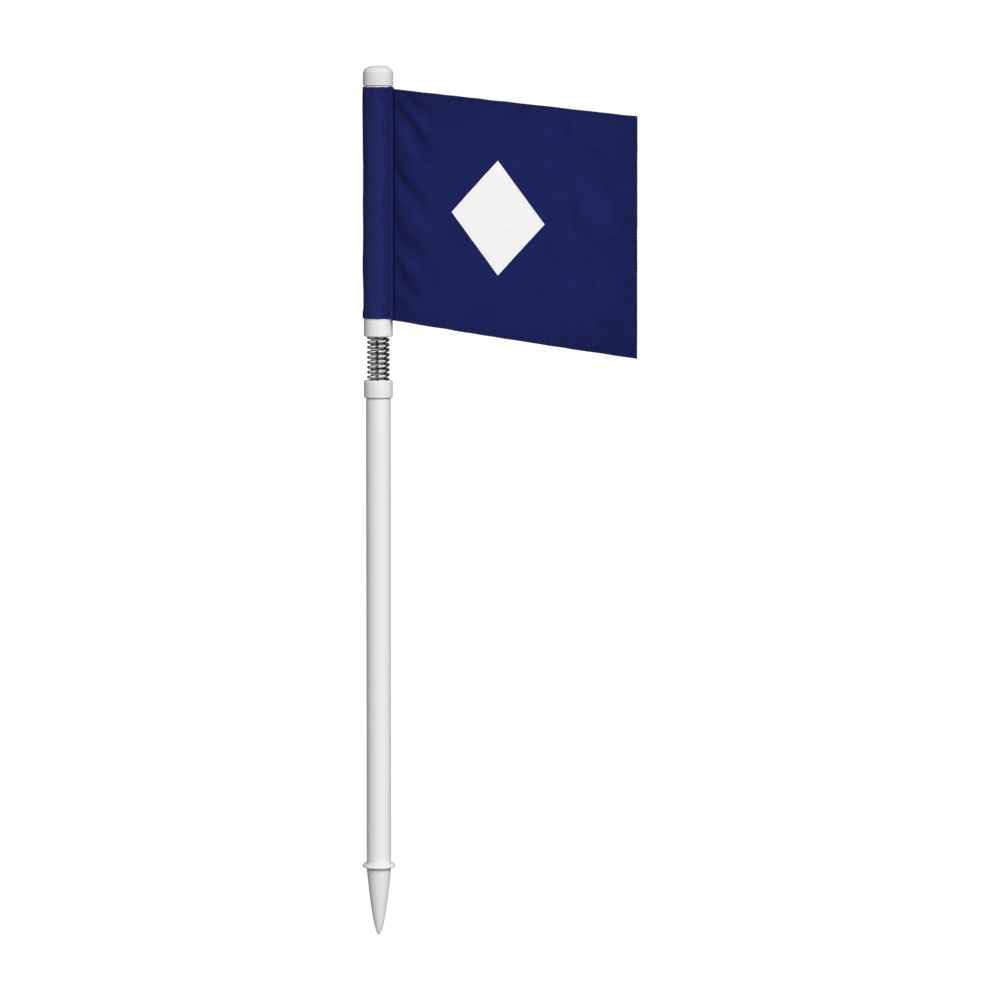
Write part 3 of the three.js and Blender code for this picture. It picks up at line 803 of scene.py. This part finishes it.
# Folds, as points along and down the panel from its hoist corner: path, steepness and half width.
# Along a positive one the cloth faces upwards and to the right, along a negative one the other way.
FOLDS = (
    (((4, 6), (23, 16), (71, 50), (111, 72), (150, 90)), 0.27, 9),
    (((2, 44), (15, 60), (41, 90), (65, 119), (95, 144), (130, 168)), 0.26, 11),
    (((2, 160), (15, 175), (40, 204), (71, 233), (113, 265), (150, 288)), 0.24, 12),
    (((2, 278), (14, 290), (40, 310), (71, 334), (107, 358), (140, 376)), 0.22, 11),
    (((2, 351), (12, 359), (34, 375), (64, 390), (95, 400)), 0.19, 8),
    (((2, 14), (9, 21), (35, 40), (59, 63), (83, 90), (120, 105), (162, 106)), -0.26, 8),
    (((30, 10), (44, 16), (77, 29), (108, 47), (132, 54)), -0.16, 8),
    (((2, 126), (13, 138), (34, 163), (59, 184), (95, 212), (130, 236)), -0.24, 10),
    (((2, 228), (13, 239), (40, 269), (95, 304), (137, 315)), -0.21, 10),
    (((2, 304), (12, 313), (34, 338), (58, 363), (95, 384)), -0.21, 9),
    (((2, 380), (12, 387), (34, 401), (64, 409)), -0.14, 7),
    (((408, 34), (443, 57), (483, 71), (528, 102), (556, 121)), -0.14, 14),
    (((420, 175), (449, 199), (483, 217), (517, 222), (557, 240)), -0.14, 15),
    (((511, 139), (539, 163), (559, 183)), -0.11, 11),
    (((386, 353), (432, 370)), -0.11, 12),
    (((472, 365), (506, 374), (557, 399)), -0.13, 12),
    (((431, 116), (483, 155), (517, 178)), 0.13, 15),
    (((489, 341), (535, 358)), 0.11, 13),
)
FOLD_MAP_STEP = 1
FOLD_SHARE = 0.82
FOLD_START_SHARE = 0.12
FOLD_END_SHARE = 0.6


def path_share(along, down, path):
    """Distance of each place from a path, and how far along the path it lies, from 0 to 1."""
    path = np.array(path, float)
    runs = np.hypot(*(path[1:] - path[:-1]).T)
    total = runs.sum()
    best = np.full(along.shape, np.inf)
    share = np.zeros(along.shape)
    walked = 0.0
    for (x0, y0), (x1, y1), run in zip(path[:-1], path[1:], runs):
        part = ((along - x0) * (x1 - x0) + (down - y0) * (y1 - y0)) / run**2
        part = np.clip(part, 0, 1)
        gap = np.hypot(along - x0 - part * (x1 - x0), down - y0 - part * (y1 - y0))
        nearer = gap < best
        best = np.where(nearer, gap, best)
        share = np.where(nearer, (walked + part * run) / total, share)
        walked += run
    return best, share


def fold_map():
    """Depth that the folds give the panel, on a grid: their steepness summed down each column."""
    along, down = np.meshgrid(
        np.arange(0, PANEL_LENGTH + 2 * FOLD_MAP_STEP, FOLD_MAP_STEP),
        np.arange(0, PANEL_HEIGHT + 2 * FOLD_MAP_STEP, FOLD_MAP_STEP),
    )
    rise = np.zeros(along.shape)
    for path, steepness, width in FOLDS:
        gap, share = path_share(along, down, path)
        ends = rising(share, FOLD_START_SHARE) * falling(share, FOLD_END_SHARE, end=1)
        rise -= FOLD_SHARE * steepness * np.exp(-((gap / width) ** 2)) * ends
    depth = np.cumsum(rise, axis=0) * FOLD_MAP_STEP
    depth = depth - depth[-1] * down / down[-1]
    return depth - depth.mean(axis=0)


FOLD_DEPTHS = fold_map()


def fold_depth(along, down):
    """The folds' depth at places along and down the panel, read between the grid's points."""
    # Just over one cell, so that the far edge still has a next point.
    last_cell = 1.001
    rows, columns = FOLD_DEPTHS.shape
    across = np.clip(along / FOLD_MAP_STEP, 0, columns - last_cell)
    below = np.clip(down / FOLD_MAP_STEP, 0, rows - last_cell)
    c, r = across.astype(int), below.astype(int)
    across, below = across - c, below - r
    upper = FOLD_DEPTHS[r, c] * (1 - across) + FOLD_DEPTHS[r, c + 1] * across
    lower = FOLD_DEPTHS[r + 1, c] * (1 - across) + FOLD_DEPTHS[r + 1, c + 1] * across
    return upper * (1 - below) + lower * below


def bell(distance, width):
    return np.exp(-((distance / width) ** 2))


# The panel's relief: depths, widths and the lengths over which a form starts or ends.
ROW_DEPTH = 0.3
ROW_WIDTH = 1.1
ROW_START = 4
FLY_ROW_IN = 2
FLY_ROW_START = 3
RIPPLE_DEPTH = 0.22
RIPPLE_START = 30
DIP_DEPTH = 1.2
DIP_MIDDLE = 0.6
DIP_WIDTH = 1.7
DIP_START = 0.9
DIP_CHANGE = 0.3
PUCKER_DEPTH = 0.16
PUCKER_IN = 9
PUCKER_WIDTH = 8
PUCKER_START = 10
FLY_CALM = 40
SEAM_HOLD = 6
BOTTOM_BOW = 1.2
FLUTTER = 0.25
FLUTTER_START = 60


def sewn_rows(along, down):
    """1 on the middle of each sewn row of the hems, fading within a thread's reach."""
    total = sum(bell(down - row, ROW_WIDTH) for row in TOP_ROWS)
    total = total + sum(bell(PANEL_HEIGHT - down - row, ROW_WIDTH) for row in BOTTOM_ROWS)
    inner = rising(down, FLY_ROW_START, FLY_ROW_IN)
    inner = inner * rising(PANEL_HEIGHT - down, FLY_ROW_START, FLY_ROW_IN)
    return total + sum(bell(PANEL_LENGTH - along - row, ROW_WIDTH) for row in FLY_ROWS) * inner


def panel_depth(along, down):
    """How far the panel stands behind its plane, at places along and down it."""
    free = np.maximum(along - FREE_FROM, 0)
    billow = np.sin(math.pi * along / PANEL_LENGTH) * np.sin(math.pi * down / PANEL_HEIGHT)
    depth = -BILLOW * billow + fold_depth(along, down) * falling(along, FLY_CALM, end=PANEL_LENGTH)
    depth = depth * (1 - np.exp(-free / SEAM_HOLD))
    ripples = waves(along, down, size=46, seed=5)
    depth = depth + RIPPLE_DEPTH * ripples * rising(free, RIPPLE_START)
    dip = DIP_DEPTH * bell(free - DIP_MIDDLE, DIP_WIDTH) * rising(free, DIP_START)
    depth = depth + dip * (1 + DIP_CHANGE * waves(0 * along, down, size=23, seed=13))
    near_edge = np.minimum(np.minimum(down, PANEL_HEIGHT - down), PANEL_LENGTH - along)
    pucker = bell(near_edge - PUCKER_IN, PUCKER_WIDTH) * rising(free, PUCKER_START)
    depth = depth + PUCKER_DEPTH * waves(along, down, size=11, seed=8) * pucker
    return depth + ROW_DEPTH * sewn_rows(along, down) * rising(free, ROW_START)


def panel_point(along, down, behind=0.0):
    """Middle of the panel's cloth at places along and down it, some way behind it."""
    along, down = np.broadcast_arrays(np.asarray(along, float), np.asarray(down, float))
    free = np.maximum(along - FREE_FROM, 0)
    drop = free / PANEL_LENGTH * PANEL_DROP
    bow = BOTTOM_BOW * np.sin(math.pi * along / PANEL_LENGTH) * (down / PANEL_HEIGHT) ** 2
    flutter = FLUTTER * waves(along, down, size=60, seed=21) * rising(free, FLUTTER_START)
    x = PANEL_X + along + FLY_LEAN * along / PANEL_LENGTH * down / PANEL_HEIGHT
    y = panel_depth(along, down) + behind
    z = PANEL_TOP - drop - down - bow + flutter * (2 * down / PANEL_HEIGHT - 1)
    return np.stack([x, y, z], axis=-1)


def cloth_piece(name, middle, flat, material):
    """A closed sheet of cloth round a grid of middle points, its edges rounded, its flat
    coordinates kept in metres as its UV map."""
    rows, columns = middle.shape[:2]
    along = np.gradient(middle, axis=1)
    down = np.gradient(middle, axis=0)
    normal = np.cross(along, down)
    normal /= np.linalg.norm(normal, axis=2, keepdims=True)
    front = middle + normal * CLOTH / 2
    back = middle - normal * CLOTH / 2
    border = [(0, c) for c in range(columns)]
    border += [(r, columns - 1) for r in range(1, rows)]
    border += [(rows - 1, c) for c in range(columns - 2, -1, -1)]
    border += [(r, 0) for r in range(rows - 2, 0, -1)]
    rim = []
    for r, c in border:
        outward = np.zeros(3)
        if r in (0, rows - 1):
            outward += down[r, c] * (1 if r else -1) / np.linalg.norm(down[r, c])
        if c in (0, columns - 1):
            outward += along[r, c] * (1 if c else -1) / np.linalg.norm(along[r, c])
        rim.append(middle[r, c] + outward / np.linalg.norm(outward) * CLOTH / 2)
    points = np.concatenate([front.reshape(-1, 3), back.reshape(-1, 3), np.array(rim)]) * METRES
    places = np.concatenate(
        [flat.reshape(-1, 2), flat.reshape(-1, 2), np.array([flat[r, c] for r, c in border])]
    )
    size = rows * columns
    faces = []
    for r in range(rows - 1):
        for c in range(columns - 1):
            a = r * columns + c
            b, d, e = a + 1, a + columns + 1, a + columns
            faces.append((a, b, d, e))
            faces.append((size + a, size + e, size + d, size + b))
    for i, (r, c) in enumerate(border):
        j = (i + 1) % len(border)
        r2, c2 = border[j]
        here, following = r * columns + c, r2 * columns + c2
        faces.append((here, 2 * size + i, 2 * size + j, following))
        faces.append((2 * size + i, size + here, size + following, 2 * size + j))
    mesh = bpy.data.meshes.new(name)
    mesh.from_pydata([tuple(p) for p in points], [], faces)
    mesh.validate()
    mesh.update()
    if signed_volume(mesh) < 0:
        mesh.flip_normals()
    mesh.shade_smooth()
    layer = mesh.uv_layers.new(name="flat")
    corner = np.zeros(len(mesh.loops), np.int32)
    mesh.loops.foreach_get("vertex_index", corner)
    layer.data.foreach_set("uv", (places[corner] * METRES).astype(np.float32).ravel())
    mesh.materials.append(material)
    return add_object(name, mesh)


def signed_volume(mesh):
    """Volume inside a closed mesh, negative where its faces point inwards."""
    mesh.calc_loop_triangles()
    points = np.zeros(len(mesh.vertices) * 3)
    mesh.vertices.foreach_get("co", points)
    points = points.reshape(-1, 3)
    corners = np.zeros(len(mesh.loop_triangles) * 3, np.int32)
    mesh.loop_triangles.foreach_get("vertices", corners)
    a, b, c = points[corners.reshape(-1, 3)].transpose(1, 0, 2)
    return float(np.einsum("ij,ij->i", a, np.cross(b, c)).sum() / 6)


def spread(low, high, step=GRID):
    return np.linspace(low, high, max(2, round((high - low) / step) + 1))


def fine_ends(low, high, fine_low, fine_high):
    """Places from low to high, close together over a stretch at each end."""
    start = spread(low, low + fine_low, FINE_GRID)
    middle = spread(low + fine_low, high - fine_high)[1:-1]
    end = spread(high - fine_high, high, FINE_GRID)
    return np.concatenate([start, middle, end])


def strip_of_panel(name, along, down, behind, material):
    along, down = np.meshgrid(along, down)
    flat = np.stack([along, down], axis=-1)
    return cloth_piece(name, panel_point(along, down, behind), flat, material)


SEAM_FINE = 22
HEM_FINE = 2
HEM_END_GAP = 0.8
hem_behind = CLOTH + LAYER_GAP
panel_columns = fine_ends(0, PANEL_LENGTH, SEAM_FINE, HEM_FLY + HEM_FINE)
panel_rows = fine_ends(0, PANEL_HEIGHT, HEM_TOP + HEM_FINE, HEM_BOTTOM + HEM_FINE)
panel = strip_of_panel("panel_cloth", panel_columns, panel_rows, 0, PANEL_CLOTH)
hem_start = FREE_FROM + HEM_INSET
hem_end = PANEL_LENGTH - HEM_INSET
top_hem = strip_of_panel(
    "top_hem_cloth",
    spread(hem_start, hem_end),
    spread(HEM_INSET, HEM_TOP, FINE_GRID),
    hem_behind,
    HEM_CLOTH,
)
bottom_hem = strip_of_panel(
    "bottom_hem_cloth",
    spread(hem_start, hem_end),
    spread(PANEL_HEIGHT - HEM_BOTTOM, PANEL_HEIGHT - HEM_INSET, FINE_GRID),
    hem_behind,
    HEM_CLOTH,
)
fly_hem = strip_of_panel(
    "fly_hem_cloth",
    spread(PANEL_LENGTH - HEM_FLY, hem_end, FINE_GRID),
    spread(HEM_TOP + HEM_END_GAP, PANEL_HEIGHT - HEM_BOTTOM - HEM_END_GAP),
    hem_behind,
    HEM_CLOTH,
)

# Sleeve: its cross-section starts at the front flange's edge, goes round the tube from the front
# to the back, and ends at the back flange's edge.
SLEEVE_MID_R = UPPER_TUBE_R + SLEEVE_SLACK + CLOTH / 2
SEAM_LAYER_Y = CLOTH + LAYER_GAP
FLANGE_LIFT = 0.55
FLANGE_CURVE = 1.5
ARC_STEPS = 96
FLANGE_STEPS = 5
STRAIGHT_STEPS = 5


def sleeve_section():
    """The sleeve's middle line from above: x and y of each point."""
    reach = math.hypot(SEAM_X, SEAM_LAYER_Y)
    touch = math.acos(SLEEVE_MID_R / reach) + math.atan2(SEAM_LAYER_Y, SEAM_X)
    front = []
    for i in range(FLANGE_STEPS):
        share = 1 - i / FLANGE_STEPS
        lift = FLANGE_LIFT * share**FLANGE_CURVE
        front.append((SEAM_X + SEAM_FLANGE * share, -SEAM_LAYER_Y - lift))
    x, y = SLEEVE_MID_R * math.cos(touch), -SLEEVE_MID_R * math.sin(touch)
    for i in range(STRAIGHT_STEPS):
        share = i / STRAIGHT_STEPS
        front.append((SEAM_X + (x - SEAM_X) * share, -SEAM_LAYER_Y + (y + SEAM_LAYER_Y) * share))
    arc = []
    for i in range(ARC_STEPS + 1):
        angle = -touch - (2 * math.pi - 2 * touch) * i / ARC_STEPS
        arc.append((SLEEVE_MID_R * math.cos(angle), SLEEVE_MID_R * math.sin(angle)))
    back = [(x, -y) for x, y in reversed(front)]
    return np.array(front + arc + back)


# The sleeve's relief off the tube. A drawn share below 1 draws a form out that way.
WRINKLE_DEPTH = 0.5
WRINKLE_DRAWN_SHARE = 0.22
HEM_WRINKLE_DEPTH = 0.3
HEM_DRAWN_SHARE = 0.8
HEM_WRINKLE_TOP = 22
HEM_WRINKLE_FADE = 6
HEM_THICKNESS = 0.35
SLEEVE_HEM = 18
SLEEVE_HEM_EDGE = 2
HEM_ROW_DEPTH = 0.5
HEM_ROW_UP = 16
HEM_ROW_WIDTH = 1.8
LOOSE_FROM = 8
LOOSE_START = 10
PULL_DEPTH = 1.1
PULL_DRAWN_SHARE = 0.3
PULL_MIDDLE = 10
PULL_WIDTH = 9
PULL_FROM = 1
PULL_START = 5
SLEEVE_LIFTS = (-0.15, 1.2)
TUBE_LIMIT = -0.2
SEAM_LIMIT = -0.9
SEAM_LIMIT_FADE = 4
EDGE_PEAK = 1.6
RAGGED = 0.25
RAGGED_REACH = 12


def sleeve_cloth():
    line = sleeve_section()
    steps = np.hypot(*np.diff(line, axis=0).T)
    walked = np.concatenate([[0], np.cumsum(steps)])
    total = walked[-1]
    tall = SLEEVE_TOP - SLEEVE_BOTTOM
    around, down = np.meshgrid(walked, fine_ends(0, tall, fine_low=14, fine_high=24))
    above = tall - down
    tangent = np.gradient(line, walked, axis=0)
    tangent /= np.hypot(*tangent.T)[:, None]
    to_seam = np.minimum(around, total - around) - SEAM_FLANGE
    wrinkle = 1 + waves(around, down * WRINKLE_DRAWN_SHARE, size=20, seed=31)
    hem_wrinkle = 1 + waves(around, down * HEM_DRAWN_SHARE, size=9, seed=37)
    hem_wrinkle = hem_wrinkle * falling(above, HEM_WRINKLE_FADE, HEM_WRINKLE_TOP)
    wrinkle = WRINKLE_DEPTH * wrinkle + HEM_WRINKLE_DEPTH * hem_wrinkle
    wrinkle = wrinkle + HEM_THICKNESS * falling(above, SLEEVE_HEM_EDGE, SLEEVE_HEM)
    wrinkle = wrinkle - HEM_ROW_DEPTH * bell(above - HEM_ROW_UP, HEM_ROW_WIDTH)
    wrinkle = np.clip(wrinkle * rising(to_seam, LOOSE_START, LOOSE_FROM), *SLEEVE_LIFTS)
    pull = PULL_DEPTH * waves(around * PULL_DRAWN_SHARE, down, size=10, seed=43)
    pull = pull * bell(to_seam - PULL_MIDDLE, PULL_WIDTH) * rising(to_seam, PULL_START, PULL_FROM)
    deepest = TUBE_LIMIT + SEAM_LIMIT * falling(to_seam, SEAM_LIMIT_FADE, LOOSE_FROM)
    lift = np.maximum(wrinkle + pull, deepest)
    x = line[:, 0] - tangent[:, 1] * lift
    y = line[:, 1] + tangent[:, 0] * lift
    edge = EDGE_PEAK * bell(to_seam, width=4) * bell(down, width=6)
    ragged = RAGGED * waves(around, 0 * down, size=18, seed=41)
    ragged = ragged * (np.exp(-down / RAGGED_REACH) + np.exp(-above / RAGGED_REACH))
    z = SLEEVE_TOP - down + edge + ragged
    middle = np.stack([x, y, z], axis=-1)
    flat = np.stack([around, down], axis=-1)
    material = cloth("navy sleeve cloth with painted light and shade", SLEEVE_LIT_NAVY_LIGHT, SLEEVE_LIT_NAVY_DARK, girth=total)
    return cloth_piece("sleeve_cloth", middle, flat, material), total


sleeve, sleeve_girth = sleeve_cloth()


# Stitches.

STITCH_SINK = 0.05
SEAM_STITCH_RISE = 0.3
SEAM_ROW_IN = 2.5
SEAM_END_GAP = 2
HEM_ROW_START = 1
ROW_END_GAP = 3
ROW_STEP = 2

front_face = -(CLOTH / 2 - STITCH_SINK)
back_face = hem_behind + CLOTH / 2 - STITCH_SINK
row_along = spread(hem_start + HEM_ROW_START, PANEL_LENGTH - ROW_END_GAP, ROW_STEP)
row_down = spread(ROW_END_GAP, PANEL_HEIGHT - ROW_END_GAP, ROW_STEP)
hem_rows, fly_rows = [], []
for face in (front_face, back_face):
    hem_rows += [panel_point(row_along, down, face) for down in TOP_ROWS]
    hem_rows += [panel_point(row_along, PANEL_HEIGHT - down, face) for down in BOTTOM_ROWS]
    fly_rows += [panel_point(PANEL_LENGTH - along, row_down, face) for along in FLY_ROWS]


def stitched(name, rows, pitch, length, width, seed):
    """Rows of stitches: their pitch, and each stitch's length and width."""
    values = {
        "Pitch": pitch * METRES,
        "Stitch Length": length * METRES,
        "Thread Width": width * METRES,
        "Seed": seed,
        "Material": THREAD,
    }
    return grown(name, rows, STITCHES, values)


hem_stitches = stitched("hem_stitches", hem_rows, pitch=8, length=4, width=0.72, seed=11)
fly_stitches = stitched("fly_stitches", fly_rows, pitch=5.9, length=2.7, width=1.2, seed=13)
seam_height = spread(SLEEVE_BOTTOM + SEAM_END_GAP, SLEEVE_TOP - SEAM_END_GAP, ROW_STEP)
seam_face = SEAM_LAYER_Y + CLOTH / 2 + SEAM_STITCH_RISE
seam_rows = []
for y in (-seam_face, seam_face):
    x = np.full_like(seam_height, SEAM_X + SEAM_ROW_IN)
    seam_rows.append(np.column_stack([x, np.full_like(seam_height, y), seam_height]))
seam_stitches = stitched("seam_stitches", seam_rows, pitch=5.2, length=2.6, width=1.3, seed=17)

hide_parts("flag_panel")
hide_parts("hem_top")
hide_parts("hem_bottom")
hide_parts("hem_fly")
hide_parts("flag_sleeve")
for piece in (panel, top_hem, bottom_hem, fly_hem, sleeve, hem_stitches, fly_stitches, seam_stitches):
    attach(piece, "flag")


# Floor, light and camera.

FACING_DEG = 40
FLOOR_Z = cad_low.z
AIM = Vector((0.15, 0.0, 0.75))


def level_direction(turn_deg):
    """Level direction from the part, turned to the right of where the camera stands."""
    angle = math.radians(FACING_DEG + turn_deg)
    return Vector((math.sin(angle), -math.cos(angle), 0.0))


def lamp_towards(name, kind, aim, turn_deg, height_deg, distance):
    """A lamp that shines at a point, turned and raised from where the camera stands."""
    rise = math.radians(height_deg)
    away = level_direction(turn_deg) * math.cos(rise) + Vector((0, 0, math.sin(rise)))
    lamp = bpy.data.lights.new(name, kind)
    holder = add_object(name, lamp)
    holder.location = aim + away * distance
    holder.rotation_mode = "QUATERNION"
    holder.rotation_quaternion = (-away).to_track_quat("-Z", "Y")
    holder.visible_glossy = False
    return lamp


def sunlight(name, turn_deg, height_deg, soft_deg, level):
    """A far, soft lamp that lights a white surface facing it to this share of white."""
    lamp = lamp_towards(name, "SUN", AIM, turn_deg, height_deg, distance=1)
    lamp.energy = level * math.pi
    lamp.angle = math.radians(soft_deg)


def beam(name, turn_deg, height_deg, distance, size, spread_deg, level):
    """A narrow soft beam on the flag, with the level that a wide one would give there."""
    lamp = lamp_towards(name, "AREA", PANEL_AIM, turn_deg, height_deg, distance)
    lamp.shape = "RECTANGLE"
    lamp.size, lamp.size_y = size
    lamp.energy = level * math.pi**2 * distance**2
    lamp.spread = math.radians(spread_deg)


WHITE = (1, 1, 1, 1)
WORLD_LEVEL = 0.1
FLOOR_GLOW = 0.88
FLOOR_GREY = 0.30
FLOOR_HALF = 30.0
PANEL_AIM = Vector((0.335, 0.0, 1.215))
sunlight("key lamp", turn_deg=19, height_deg=34, soft_deg=40, level=1.08)
sunlight("rim lamp", turn_deg=-108, height_deg=10, soft_deg=20, level=0.13)
PANEL_BEAM = {"distance": 2.4, "size": (0.50, 0.46), "spread_deg": 6, "level": 0.0043}
beam("panel lamp", turn_deg=-15, height_deg=16, **PANEL_BEAM)


def outside_view(tree):
    """1 for rays from the camera and for reflected and passing rays, 0 for diffuse light."""
    path = add_node(tree, "ShaderNodeLightPath").outputs
    seen = maths(tree, "MAXIMUM", path["Is Camera Ray"], path["Is Glossy Ray"])
    return maths(tree, "MAXIMUM", seen, path["Is Transmission Ray"])


def empty_tree(owner):
    """The node tree of a world or a material, with nothing in it."""
    owner.use_nodes = True
    owner.node_tree.nodes.clear()
    return owner.node_tree


def pale_world():
    world = bpy.data.worlds.new("pale world")
    tree = empty_tree(world)
    level = add_node(tree, "ShaderNodeBackground", {"Color": WHITE, "Strength": WORLD_LEVEL})
    white = add_node(tree, "ShaderNodeBackground", {"Color": WHITE, "Strength": 1.0})
    both = add_node(
        tree,
        "ShaderNodeMixShader",
        {0: outside_view(tree), 1: level.outputs[0], 2: white.outputs[0]},
    )
    add_node(tree, "ShaderNodeOutputWorld", {"Surface": both.outputs[0]})
    bpy.context.scene.world = world


def pale_floor():
    """A wide white floor that keeps the part's shadow and gives back little light."""
    material = bpy.data.materials.new("pale floor")
    tree = empty_tree(material)
    grey = (FLOOR_GREY, FLOOR_GREY, FLOOR_GREY, 1)
    matt = add_node(tree, "ShaderNodeBsdfDiffuse", {"Color": grey})
    glow = add_node(tree, "ShaderNodeEmission", {"Color": WHITE})
    tree.links.new(maths(tree, "MULTIPLY", outside_view(tree), FLOOR_GLOW), glow.inputs["Strength"])
    both = add_node(tree, "ShaderNodeAddShader", {0: matt.outputs[0], 1: glow.outputs[0]})
    add_node(tree, "ShaderNodeOutputMaterial", {"Surface": both.outputs[0]})
    square = ((-1, -1), (1, -1), (1, 1), (-1, 1))
    corners = [(x * FLOOR_HALF, y * FLOOR_HALF, FLOOR_Z) for x, y in square]
    mesh = bpy.data.meshes.new("floor")
    mesh.from_pydata(corners, [], [(0, 1, 2, 3)])
    mesh.materials.append(material)
    floor = add_object("floor", mesh)


# Cards round the part: sectors, in degrees to the right of the camera, and the brightness of each
# below the horizon and above it. A sector of brightness 1 is a window to the white world.
CARDS = (
    (-180, -96, 0.04, 0.10),
    (-96, -30, 0.04, 0.72),
    (-30, 2, 0.02, 0.02),
    (2, 80, 0.12, 1),
    (80, 180, 0.02, 0.05),
)
CARD_HORIZON = -16
CARD_R = 3.2
CARD_CENTRE_Z = 0.95
CARD_OFF_FLOOR = 0.004
CARD_STEP = 2


def ring_of_cards():
    """Grey and dark cards that only reflections show, so that bright metal has contrast."""
    levels = sorted({level for card in CARDS for level in card[2:]})
    points, faces, picks = [], [], []
    for turn in range(-180, 180, CARD_STEP):
        below, above = next(card[2:] for card in CARDS if card[0] <= turn < card[1])
        for rise in range(-90, 90, CARD_STEP):
            shown = below if rise < CARD_HORIZON else above
            if shown == 1:
                continue
            start = len(points)
            for a, e in ((0, 0), (1, 0), (1, 1), (0, 1)):
                up = math.radians(rise + e * CARD_STEP)
                level = level_direction(turn + a * CARD_STEP) * math.cos(up)
                corner = (level + Vector((0, 0, math.sin(up)))) * CARD_R
                z = max(corner.z + CARD_CENTRE_Z, FLOOR_Z + CARD_OFF_FLOOR)
                points.append((corner.x, corner.y, z))
            faces.append((start, start + 1, start + 2, start + 3))
            picks.append(levels.index(shown))
    mesh = bpy.data.meshes.new("cards")
    mesh.from_pydata(points, [], faces)
    for level in levels:
        material = bpy.data.materials.new("card %.2f" % level)
        tree = empty_tree(material)
        shade = add_node(tree, "ShaderNodeEmission", {"Color": WHITE, "Strength": level})
        add_node(tree, "ShaderNodeOutputMaterial", {"Surface": shade.outputs[0]})
        mesh.materials.append(material)
    mesh.polygons.foreach_set("material_index", picks)
    cards = add_object("cards", mesh)
    for rays in ("camera", "diffuse", "transmission", "volume_scatter", "shadow"):
        setattr(cards, "visible_" + rays, False)


pale_world()
pale_floor()
ring_of_cards()

CAMERA_HEIGHT = 1.4769
CAMERA_RIGHT = 0.2268
CAMERA_BACK = 7.9875
CAMERA_DOWN_DEG = 5.6
CAMERA_ROLL_DEG = 0.09
CAMERA_LENS = 154.8
CAMERA_SENSOR = 36

camera_data = bpy.data.cameras.new("camera")
camera_data.lens = CAMERA_LENS
camera_data.sensor_width = CAMERA_SENSOR
camera = add_object("camera", camera_data)
towards_camera = level_direction(0)
to_the_right = level_direction(90) * CAMERA_RIGHT
camera.location = towards_camera * CAMERA_BACK + to_the_right + Vector((0, 0, CAMERA_HEIGHT))
down = math.radians(CAMERA_DOWN_DEG)
look = -towards_camera * math.cos(down) - Vector((0, 0, math.sin(down)))
roll = Quaternion((0, 0, 1), math.radians(CAMERA_ROLL_DEG))
camera.rotation_mode = "QUATERNION"
camera.rotation_quaternion = look.to_track_quat("-Z", "Y") @ roll
bpy.context.scene.camera = camera
bpy.context.scene.view_settings.view_transform = "Standard"
